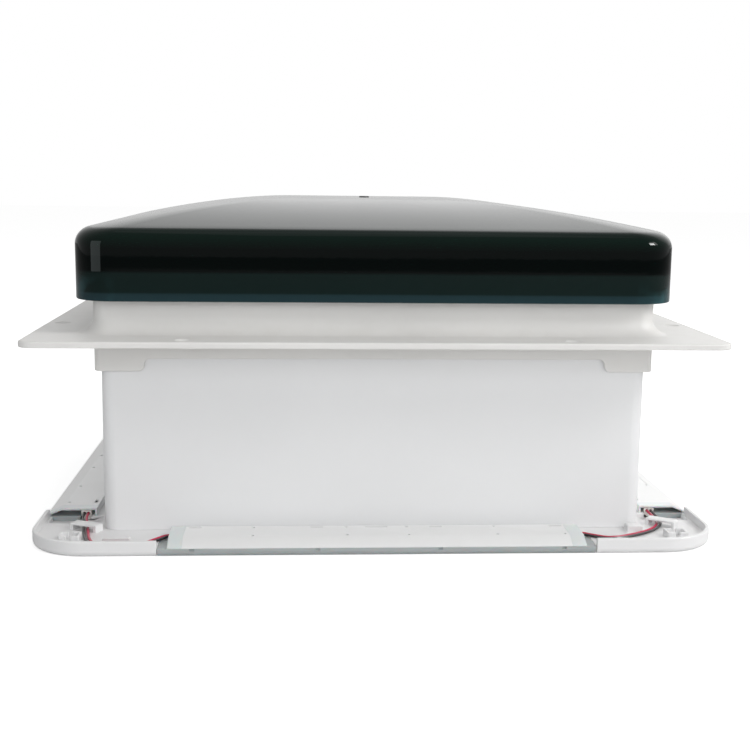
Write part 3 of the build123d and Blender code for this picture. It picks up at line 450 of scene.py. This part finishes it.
def clearAcrylic():
    material, tree, shader = newMaterial("clearAcrylic", IOR=1.49, Transmission_Weight=1.0)
    tone = placeEffect(tree, "drift", -700, 300, Colour=(0.90, 0.93, 0.93, 1),
                       Drift_Colour=(0.82, 0.86, 0.86, 1), Scale=6, Amount=0.5)
    marks = placeEffect(tree, "handling", -700, 0, Roughness=0.05, Smear=0.06, Scratch=0.05,
                        Scratch_Scale=80)
    tree.links.new(tone.outputs["Colour"], shader.inputs["Base Color"])
    tree.links.new(marks.outputs["Roughness"], shader.inputs["Roughness"])
    return material


# Cloths are woven on their own flat map in metres, and the mesh is see-through between its threads
def pleatedCloth(name, warp, weft, threads, roughness, gapAlpha=None):
    material, tree, shader = newMaterial(name, Roughness=roughness, Sheen_Weight=0.25, Sheen_Roughness=0.5)
    weave = placeEffect(tree, "weave", -700, 200, Threads=threads, Warp_Colour=grade(warp, 1),
                        Weft_Colour=grade(weft, 1))
    surface = placeEffect(tree, "dust", -400, 200, Amount=0.12, Edge_Colour=grade(warp, 1.05),
                          Dust_Colour=grade((0.55, 0.52, 0.48), 1), Edge_Amount=0.4)
    bump = setInputs(addNode(tree, "ShaderNodeBump", -300, -260), Strength=0.6, Distance=0.08 * mm)
    tree.links.new(weave.outputs["Colour"], surface.inputs["Colour"])
    tree.links.new(surface.outputs["Colour"], shader.inputs["Base Color"])
    tree.links.new(weave.outputs["Height"], bump.inputs["Height"])
    tree.links.new(bump.outputs["Normal"], shader.inputs["Normal"])
    if gapAlpha is not None:
        gaps = addNode(tree, "ShaderNodeMapRange", -400, -60)
        setInputs(gaps, From_Min=0.0, From_Max=0.45, To_Min=gapAlpha, To_Max=1.0)
        tree.links.new(weave.outputs["Height"], gaps.inputs["Value"])
        tree.links.new(gaps.outputs["Result"], shader.inputs["Alpha"])
    return material


finishes = {
    "frame_plastic": mouldedPlastic("frameWhite", (0.745, 0.738, 0.722), 0.52, drift=0.95, dust=0.10,
                                    grainDepth=0.03, Specular_IOR_Level=0.3),
    "liner_plastic": mouldedPlastic("linerWhite", (0.790, 0.795, 0.802), 0.42, drift=0.97, dust=0.05,
                                    grainDepth=0.015, waveShare=0.7, Specular_IOR_Level=0.4),
    "trim_plastic": mouldedPlastic("trimWhite", (0.790, 0.790, 0.794), 0.48, drift=0.97, dust=0.06,
                                   grainDepth=0.015, waveShare=0.6, Specular_IOR_Level=0.3),
    "seal_rubber": mouldedPlastic("sealRubber", (0.018, 0.018, 0.019), 0.72, drift=1.6, dust=0.25, edge=1.8,
                                  grainDepth=0.06, grainScale=900),
    "tinted_acrylic": tintedAcrylic(),
    "inner_acrylic": clearAcrylic(),
    "carrier_plastic": mouldedPlastic("carrierGrey", (0.052, 0.054, 0.056), 0.5, drift=1.25, dust=0.12,
                                      edge=1.6, grainDepth=0.05),
    "dark_plastic": mouldedPlastic("glassFilledNylon", (0.020, 0.021, 0.022), 0.48, drift=1.4, dust=0.14,
                                   edge=2.2, grainDepth=0.06, grainScale=1900),
    "bow_plastic": mouldedPlastic("bowGrey", (0.36, 0.37, 0.38), 0.44, drift=0.9, dust=0.06,
                                  grainDepth=0.04),
    "bow_metal": drawnMetal("bowAluminium", (0.78, 0.79, 0.80), 0.3, (0.02, 1, 1)),
    "steel": drawnMetal("zincSteel", (0.66, 0.67, 0.68), 0.28, (1, 1, 0.3), scale=900, depth=0.006),
    "light_guide": mouldedPlastic("frostedGuide", (0.375, 0.405, 0.410), 0.30, drift=1.06, dust=0.03,
                                  grainDepth=0.01, waveShare=0.8, Subsurface_Weight=0.25,
                                  Subsurface_Scale=0.004),
    "lamp_plastic": mouldedPlastic("lampWhite", (0.800, 0.802, 0.802), 0.38, drift=0.97, dust=0.05,
                                   grainDepth=0.02),
    "flap_plastic": mouldedPlastic("flapTranslucent", (0.70, 0.735, 0.735), 0.33, drift=0.95, dust=0.04,
                                   grainDepth=0.015, Subsurface_Weight=0.3, Subsurface_Scale=0.003),
    "led_board": mouldedPlastic("boardWhite", (0.74, 0.75, 0.72), 0.32, drift=0.9, dust=0.02,
                                grainDepth=0.01),
    "socket_plastic": mouldedPlastic("socketIvory", (0.80, 0.79, 0.75), 0.4, drift=0.94, dust=0.03,
                                     grainDepth=0.02),
    "red_wire": mouldedPlastic("redSleeve", (0.60, 0.012, 0.075), 0.36, drift=0.8, dust=0.02, edge=1.0,
                               grainDepth=0.02, grainScale=2500),
    "black_wire": mouldedPlastic("blackSleeve", (0.016, 0.014, 0.015), 0.36, drift=1.5, dust=0.04, edge=1.4,
                                 grainDepth=0.02, grainScale=2500),
    "blind_fabric": pleatedCloth("blackoutCloth", (0.62, 0.61, 0.58), (0.55, 0.54, 0.515), 5200, 0.85),
    "screen_fabric": pleatedCloth("insectMesh", (0.075, 0.075, 0.075), (0.055, 0.055, 0.055), 4400, 0.7,
                                  gapAlpha=0.12),
    "bar_aluminium": drawnMetal("barAluminium", (0.83, 0.835, 0.84), 0.33, (0.015, 1, 1)),
    "handle_plastic": mouldedPlastic("handleGrey", (0.56, 0.565, 0.57), 0.42, drift=0.94, dust=0.04,
                                     grainDepth=0.03),
}

print("finishes ready:", len(finishes))

# Camera, as the photograph was taken: in front of the lifting side and slightly above it
cameraPlace = {
    "position": (-0.05725, -1.0672, 0.1145),
    "forward": (0.0632, 0.9855, -0.1573),
    "roll": 0.0121,
    "lens": 59.85,
    "sensor": 36.0,
    "near": 0.02,
    "far": 60,
}


def addCamera():
    data = bpy.data.cameras.new("photoCamera")
    data.lens = cameraPlace["lens"]
    data.sensor_width = cameraPlace["sensor"]
    data.sensor_fit = "HORIZONTAL"
    data.clip_start = cameraPlace["near"]
    data.clip_end = cameraPlace["far"]
    camera = bpy.data.objects.new("photoCamera", data)
    bpy.context.scene.collection.objects.link(camera)
    camera.location = cameraPlace["position"]
    aim = Vector(cameraPlace["forward"]).to_track_quat("-Z", "Y")
    camera.rotation_mode = "QUATERNION"
    camera.rotation_quaternion = aim @ Quaternion((0, 0, 1), cameraPlace["roll"])
    bpy.context.scene.camera = camera


# Soft studio light: a key on the right, a wide softbox in front, a weak one above, a wide panel behind that
# the sloping top of the dome mirrors, and a white surround. The two cards only show as glints in the dome's
# round corners, and the softbox in front isn't mirrored at all
studio = {
    "surroundLeft": 0.36,
    "surroundRight": 0.60,
    "lamps": (
        ("keySoftbox", (1.75, -1.05, 1.30), (0.75, 0.75), 19.0, 180, (1.0, 0.99, 0.975)),
        ("frontSoftbox", (0.25, -2.60, 0.76), (2.4, 1.3), 19.2, 180, (0.985, 0.99, 1.0)),
        ("topSoftbox", (0.10, -0.20, 2.30), (1.2, 1.2), 3.5, 180, (1.0, 1.0, 1.0)),
        ("backPanel", (0.95, 1.95, 1.30), (4.6, 1.9), 10.4, 100, (1.0, 1.0, 1.0)),
    ),
    "unmirrored": "frontSoftbox",
    "cards": (
        ("glintCard", (1.65, -1.30, 1.20), (0.56, 0.40), 70.0, 180, (1.0, 1.0, 1.0)),
        ("cornerCard", (-1.55, -1.25, 0.30), (0.95, 1.00), 14.0, 180, (0.88, 1.0, 1.0)),
    ),
    "floorHalf": 9.0,
    "floorColour": (0.80, 0.80, 0.80, 1),
    "floorGlow": 0.60,
}


def addStudio():
    world = bpy.data.worlds.new("whiteSurround")
    bpy.context.scene.world = world
    world.use_nodes = True
    tree = world.node_tree
    background = tree.nodes["Background"]
    setInputs(background, Color=(1, 1, 1, 1))
    rays = addNode(tree, "ShaderNodeLightPath", -900, 0)
    seen = addNode(tree, "ShaderNodeMath", -650, 0, operation="MAXIMUM")
    either = addNode(tree, "ShaderNodeMath", -450, 0, operation="MAXIMUM")
    level = addNode(tree, "ShaderNodeMapRange", -250, 0)
    setInputs(level, To_Max=1.0)
    aim = addNode(tree, "ShaderNodeTexCoord", -900, -300)
    sideways = addNode(tree, "ShaderNodeSeparateXYZ", -700, -300)
    wall = addNode(tree, "ShaderNodeMapRange", -500, -300)
    setInputs(wall, From_Min=-1, To_Min=studio["surroundLeft"], To_Max=studio["surroundRight"])
    tree.links.new(aim.outputs["Generated"], sideways.inputs["Vector"])
    tree.links.new(sideways.outputs["X"], wall.inputs["Value"])
    tree.links.new(wall.outputs["Result"], level.inputs["To Min"])
    tree.links.new(rays.outputs["Is Camera Ray"], seen.inputs[0])
    tree.links.new(rays.outputs["Is Glossy Ray"], seen.inputs[1])
    tree.links.new(seen.outputs[0], either.inputs[0])
    tree.links.new(rays.outputs["Is Transmission Ray"], either.inputs[1])
    tree.links.new(either.outputs[0], level.inputs["Value"])
    tree.links.new(level.outputs["Result"], background.inputs["Strength"])
    for entry in studio["lamps"] + studio["cards"]:
        name, place, (wide, high), power, spread, colour = entry
        light = bpy.data.lights.new(name, "AREA")
        light.shape = "RECTANGLE"
        light.size = wide
        light.size_y = high
        light.energy = power
        light.spread = math.radians(spread)
        light.color = colour
        lamp = bpy.data.objects.new(name, light)
        bpy.context.scene.collection.objects.link(lamp)
        lamp.location = place
        lamp.rotation_mode = "QUATERNION"
        lamp.rotation_quaternion = (-Vector(place)).to_track_quat("-Z", "Y")
        lamp.visible_diffuse = entry in studio["lamps"]
        lamp.visible_glossy = name != studio["unmirrored"]


def addFloor():
    level = cadBox[0].z
    bpy.ops.object.select_all(action="DESELECT")
    bpy.ops.mesh.primitive_plane_add(size=2 * studio["floorHalf"], location=(0, 0, level))
    floor = bpy.context.object
    floor.name = "studioFloor"
    material, tree, shader = newMaterial("paleFloor", Base_Color=studio["floorColour"], Roughness=0.9,
                                         Specular_IOR_Level=0.0, Emission_Color=(1, 1, 1, 1))
    rays = addNode(tree, "ShaderNodeLightPath", -700, -300)
    glow = addNode(tree, "ShaderNodeMath", -400, -300, operation="MULTIPLY")
    glow.inputs[1].default_value = studio["floorGlow"]
    tree.links.new(rays.outputs["Is Camera Ray"], glow.inputs[0])
    tree.links.new(glow.outputs[0], shader.inputs["Emission Strength"])
    floor.data.materials.append(material)


addCamera()
addStudio()
addFloor()
bpy.context.scene.view_settings.view_transform = "Standard"
print("studio ready")

# Every node that keeps its own mesh gets the finish of its record slot
slotOf = {part["node"]: part["material_slot"] for part in frame["record"]["subparts"]}
for name, node in nodes.items():
    node.data.materials.clear()
    node.data.materials.append(finishes[slotOf[name]])
print("nodes dressed:", len(slotOf))

bodies = frame["record"]["behaviour"]["bodies"]
bodyOf = {name: body for body, members in bodies.items() for name in members}


# A new piece takes the finish, the body and the place of the CAD node that it stands for
def dress(piece, node):
    piece.data.materials.clear()
    piece.data.materials.append(finishes[slotOf[node]])
    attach(piece, bodyOf[node])
    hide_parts(node)


# Hard pieces are finished from copies of the CAD nodes: the loose triangles are merged, flat faces joined
# and every sharp edge rounded to the width that is given here in mm
roundedEdges = {
    "join": 0.002, "flat": 0.6, "sharp": 38, "steps": 2,
    "widths": {
        "upper_frame": 0.6, "inner_liner": 0.5, "trim_frame": 0.5, "dome_carrier": 0.4, "dome_inner": 0.3,
        "bow_bracket_left": 0.4, "bow_bracket_right": 0.4, "bow_arm_left": 0.4, "bow_arm_right": 0.4,
        "bow_bar": 0.3, "bow_grip": 0.3, "bar_rest_left": 0.4, "bar_rest_right": 0.4, "hinge_leaf_left": 0.3,
        "hinge_leaf_right": 0.3, "hinge_pins": 0.3, "pivot_pins": 0.4, "track_left": 0.3, "track_right": 0.3,
        "shoe_left": 0.3, "shoe_right": 0.3, "guide_rail_left": 0.25, "guide_rail_right": 0.25,
        "cassette_front": 0.3, "cassette_rear": 0.3, "blind_bar": 0.25, "screen_bar": 0.25,
        "blind_handle": 0.4, "screen_handle": 0.4, "lamp_cover_front": 0.25, "lamp_cover_right": 0.25,
        "lamp_cover_rear": 0.25, "lamp_cover_left": 0.25, "light_guide_front": 0.3,
        "light_guide_right": 0.3, "light_guide_rear": 0.3, "light_guide_left": 0.3, "lamp_end_flaps": 0.25,
        "lamp_sockets": 0.25, "breather_plug": 0.25,
    },
}


def roundedCopy(name, width):
    words = name.split("_")
    piece = bpy.data.objects.new("rounded" + "".join(word.capitalize() for word in words),
                                 nodes[name].data.copy())
    bpy.context.scene.collection.objects.link(piece)
    openEdit(piece)
    bpy.ops.mesh.select_all(action="SELECT")
    bpy.ops.mesh.remove_doubles(threshold=roundedEdges["join"] * mm)
    bpy.ops.mesh.dissolve_limited(angle_limit=math.radians(roundedEdges["flat"]))
    closeEdit()
    applyModifier(piece, "BEVEL", width=width * mm, segments=roundedEdges["steps"], limit_method="ANGLE",
                  angle_limit=math.radians(roundedEdges["sharp"]), use_clamp_overlap=False)
    smoothByAngle(piece, roundedEdges["sharp"])
    applyModifier(piece, "WEIGHTED_NORMAL", keep_sharp=True)
    dress(piece, name)


for name, width in roundedEdges["widths"].items():
    roundedCopy(name, width)
print("rounded copies:", len(roundedEdges["widths"]))

# Screws are turned from one profile, with a domed head, ribs for a thread and a cross recess. They are
# drawn head up with the head's seat at the origin, then copied to their places
screwShape = {
    "sides": 28, "rib": 0.8, "recessReach": 0.58, "recessWidth": 0.2, "recessDepth": 0.6,
    "recessTaper": 0.55, "facingDown": -0.9, "join": 0.002, "sharp": 35,
    "headShares": ((1.0, 0.0), (1.0, 0.32), (0.95, 0.56), (0.82, 0.8), (0.6, 0.94), (0.3, 1.0), (0.0, 1.0)),
}
smallScrew = {"radius": 1.5, "plain": 0.6, "pitch": 1.0, "headRadius": 2.9, "head": 1.8}
screwSets = {
    "long_screws": {"radius": 2.0, "plain": 14.0, "pitch": 1.6, "headRadius": 3.8, "head": 2.4,
                    "shank": 52.0, "turn": (180, 0, 0),
                    "spots": ((181, 181, -58), (-181, 181, -58), (181, -181, -58), (-181, -181, -58))},
    "bracket_screws": {**smallScrew, "shank": 5.4, "turn": (0, -90, 0),
                       "spots": ((192, 1, 15), (192, 31, 25), (-192, 1, 15), (-192, 31, 25))},
    "track_screws": {**smallScrew, "shank": 9.6, "turn": (0, 0, 0),
                     "spots": ((186.5, -177, 37.7), (186.5, -59.7, 37.7), (-186.5, -177, 37.7),
                               (-186.5, -59.7, 37.7))},
    "leaf_screws": {**smallScrew, "shank": 5.6, "turn": (90, 0, 0),
                    "spots": ((114, 201.5, 41.95), (126, 201.5, 41.95), (-114, 201.5, 41.95),
                              (-126, 201.5, 41.95))},
}


# A closed shape turned about the Z axis from its profile of radius and level
def turnProfile(name, profile, sides):
    bpy.ops.object.select_all(action="DESELECT")
    bpy.ops.mesh.primitive_plane_add(size=mm, location=(0, 0, 0))
    piece = bpy.context.object
    piece.name = name
    openEdit(piece)
    bpy.ops.mesh.select_mode(type="VERT")
    bpy.ops.mesh.select_all(action="SELECT")
    bpy.ops.mesh.merge(type="CENTER")
    (radius, level) = profile[0]
    bpy.ops.transform.translate(value=(radius * mm, 0, level * mm))
    for (lastRadius, lastLevel), (radius, level) in zip(profile, profile[1:]):
        step = ((radius - lastRadius) * mm, 0, (level - lastLevel) * mm)
        bpy.ops.mesh.extrude_vertices_move(TRANSFORM_OT_translate={"value": step})
    bpy.ops.mesh.select_all(action="SELECT")
    bpy.ops.mesh.spin(steps=sides, angle=2 * math.pi, center=(0, 0, 0), axis=(0, 0, 1))
    bpy.ops.mesh.select_all(action="SELECT")
    bpy.ops.mesh.remove_doubles(threshold=screwShape["join"] * mm)
    bpy.ops.mesh.normals_make_consistent(inside=False)
    closeEdit()
    return piece


def screwProfile(kind):
    points = [(0, -kind["shank"]), (kind["radius"] * screwShape["rib"], -kind["shank"])]
    level = -kind["shank"] + kind["pitch"] / 2
    while level + kind["pitch"] / 2 < -kind["plain"]:
        points.append((kind["radius"], level))
        points.append((kind["radius"] * screwShape["rib"], level + kind["pitch"] / 2))
        level += kind["pitch"]
    points += [(kind["radius"], -kind["plain"]), (kind["radius"], 0)]
    for wide, high in screwShape["headShares"]:
        points.append((wide * kind["headRadius"], high * kind["head"]))
    return points


def cutCrossRecess(piece, kind):
    reach = kind["headRadius"] * screwShape["recessReach"]
    width = kind["headRadius"] * screwShape["recessWidth"]
    depth = kind["head"] * screwShape["recessDepth"]
    bpy.ops.object.select_all(action="DESELECT")
    bpy.ops.mesh.primitive_cube_add(size=2, location=(0, 0, kind["head"] * mm))
    cutter = bpy.context.object
    cutter.scale = (reach * mm, width * mm, depth * mm)
    bpy.ops.object.transform_apply(location=True, rotation=True, scale=True)
    mesh = openEdit(cutter)
    bpy.ops.mesh.select_all(action="DESELECT")
    bpy.ops.mesh.select_mode(type="FACE")
    for face in mesh.faces:
        face.select_set(face.normal.z < screwShape["facingDown"])
    bpy.ops.transform.resize(value=(screwShape["recessTaper"], screwShape["recessTaper"], 1),
                             center_override=(0, 0, 0))
    closeEdit()
    for turn in range(2):
        applyModifier(piece, "BOOLEAN", operation="DIFFERENCE", object=cutter, solver="EXACT")
        makeActive(cutter)
        cutter.rotation_euler.z = math.pi / 2
        bpy.ops.object.transform_apply(location=True, rotation=True, scale=True)
    bpy.data.objects.remove(cutter)


def placeCopy(source, name, spot, turn):
    piece = bpy.data.objects.new(name, source.data.copy())
    bpy.context.scene.collection.objects.link(piece)
    piece.location = [value * mm for value in spot]
    piece.rotation_euler = [math.radians(value) for value in turn]
    makeActive(piece)
    bpy.ops.object.transform_apply(location=True, rotation=True, scale=True)
    return piece


def makeScrews(node, kind):
    drawn = turnProfile(node + "Drawn", screwProfile(kind), screwShape["sides"])
    cutCrossRecess(drawn, kind)
    smoothByAngle(drawn, screwShape["sharp"])
    label = node.split("_")[0] + "Screw"
    for index, spot in enumerate(kind["spots"]):
        side = 1 if spot[0] > 0 else -1
        turn = (kind["turn"][0], kind["turn"][1] * side, kind["turn"][2])
        piece = placeCopy(drawn, f"{label}{index + 1}", spot, turn)
        dress(piece, node)
    bpy.data.objects.remove(drawn)


for node, kind in screwSets.items():
    makeScrews(node, kind)
print("screws ready")


# A square ring with round corners, and the skin that is pulled from it: each step extrudes the open edge,
# scales it to the next half width and lifts it to the next level
def startRing(name, half, corner, level, segments):
    bpy.ops.object.select_all(action="DESELECT")
    bpy.ops.mesh.primitive_plane_add(size=2 * half * mm, location=(0, 0, level * mm))
    piece = bpy.context.object
    piece.name = name
    bpy.ops.object.transform_apply(location=True, rotation=True, scale=True)
    openEdit(piece)
    bpy.ops.mesh.select_all(action="SELECT")
    bpy.ops.mesh.bevel(affect="VERTICES", offset=corner * mm, segments=segments, profile=0.5)
    bpy.ops.mesh.select_mode(type="EDGE")
    bpy.ops.mesh.select_all(action="SELECT")
    return piece


def pullRing(last, step):
    (lastHalf, lastLevel), (half, level) = last, step
    bpy.ops.mesh.extrude_edges_move(TRANSFORM_OT_translate={"value": (0, 0, (level - lastLevel) * mm)})
    ratio = half / lastHalf
    bpy.ops.transform.resize(value=(ratio, ratio, 1), center_override=(0, 0, 0))


def pullSkin(steps):
    for last, step in zip(steps, steps[1:]):
        pullRing(last, step)


def closeSkin(join):
    bpy.ops.mesh.edge_face_add()
    bpy.ops.mesh.select_all(action="SELECT")
    bpy.ops.mesh.remove_doubles(threshold=join * mm)
    bpy.ops.mesh.normals_make_consistent(inside=False)
    closeEdit()


# Outer skin of the dome, drawn as one thick shell: raised middle, sloping sides, shoulder, wall and lip
outerDome = {
    "topHalf": 65.0, "topCorner": 8.6, "top": 97.0, "edge": 76.1, "half": 211.0, "slopePower": 1.6,
    "slopeStart": 0.0645, "slopeSteps": 22, "shoulder": 12.0, "shoulderLevel": 66.5, "shoulderEnd": 77.6,
    "shoulderSteps": 9,
    "lip": 28.0, "lipRound": 1.1, "curlShare": 0.3, "wall": 3.0, "wallTop": 50.0, "cornerSteps": 14,
    "join": 0.01, "sharp": 40,
}


def domeSlope(shape, drop):
    steps = []
    count = shape["slopeSteps"]
    for index in range(count + 1):
        t = 1 - index * (1 - shape["slopeStart"]) / count
        rise = (shape["top"] - shape["edge"]) * (1 - (1 - t) ** shape["slopePower"])
        half = shape["half"] - (shape["half"] - shape["topHalf"]) * t
        steps.append((half, shape["edge"] + rise - drop))
    return steps


def domeShoulder(shape, inset):
    radius = shape["shoulder"] - inset
    middle = shape["half"] - shape["shoulder"]
    steps = []
    for index in range(shape["shoulderSteps"] + 1):
        angle = math.radians(shape["shoulderEnd"] * (1 - index / shape["shoulderSteps"]))
        steps.append((middle + radius * math.cos(angle), shape["shoulderLevel"] + radius * math.sin(angle)))
    return steps


def makeOuterDome():
    shape = outerDome
    outside = domeSlope(shape, 0)[:-1] + domeShoulder(shape, 0)
    inside = domeSlope(shape, shape["wall"])[:-1] + domeShoulder(shape, shape["wall"])
    lip, curl, wallTop = shape["lip"], shape["lipRound"], shape["wallTop"]
    bend = shape["curlShare"] * curl
    outer = shape["half"]
    inner = outer - shape["wall"]
    rim = [(outer, wallTop), (outer, lip + curl), (outer - bend, lip + bend), (outer - curl, lip),
           (inner + curl, lip), (inner + bend, lip + bend), (inner, lip + curl), (inner, wallTop)]
    piece = startRing("tintedDomeSkin", shape["topHalf"], shape["topCorner"], shape["top"],
                      shape["cornerSteps"])
    pullSkin(outside + rim + inside[::-1])
    closeSkin(shape["join"])
    smoothByAngle(piece, shape["sharp"])
    dress(piece, "dome_outer")


makeOuterDome()
print("dome skin ready")


# Pleated cloths: the folds are spaced so that they come out even when the cloth is drawn
pleatedCloths = {
    "halfFolds": 64, "width": 374.0, "depth": 14.0, "across": 26, "ripple": 0.12, "seed": 11,
    "blind_cloth": {"front": -185.8, "low": -138.2, "high": -130.3},
    "screen_cloth": {"front": 185.8, "low": -127.2, "high": -119.3},
}


def evenWhenDrawn(share):
    return 0.5 - math.sin(math.asin(1 - 2 * share) / 3)


def makeCloth(name, node, side):
    shape = pleatedCloths
    spot = shape[node]
    folds = shape["halfFolds"]
    rise = (spot["high"] - spot["low"]) * mm
    bpy.ops.object.select_all(action="DESELECT")
    bpy.ops.mesh.primitive_grid_add(x_subdivisions=shape["across"], y_subdivisions=folds, size=1,
                                    location=(0, 0, 0))
    piece = bpy.context.object
    piece.name = name
    bpy.ops.object.transform_apply(location=True, rotation=True, scale=True)
    chance = random.Random(shape["seed"])
    mesh = openEdit(piece)
    flat = mesh.loops.layers.uv.new("cloth")
    for face in mesh.faces:
        for loop in face.loops:
            row = round((loop.vert.co.y + 0.5) * folds)
            loop[flat].uv = (loop.vert.co.x * shape["width"] * mm, row * rise)
    for vertex in mesh.verts:
        row = round((vertex.co.y + 0.5) * folds)
        vertex.co.x *= shape["width"] * mm
        vertex.co.y = (spot["front"] - side * evenWhenDrawn(row / folds) * shape["depth"]) * mm
        vertex.co.z = (spot["high"] if row % 2 else spot["low"]) * mm
        vertex.co.z += chance.uniform(0, shape["ripple"]) * mm * (-1 if row % 2 else 1)
    bmesh.update_edit_mesh(piece.data)
    bpy.ops.mesh.select_all(action="SELECT")
    bpy.ops.mesh.normals_make_consistent(inside=False)
    closeEdit()
    piece.data.materials.append(finishes[slotOf[node]])
    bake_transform(piece)
    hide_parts(node)


makeCloth("pleatedBlind", "blind_cloth", -1)
makeCloth("pleatedScreen", "screen_cloth", 1)
print("cloths ready")
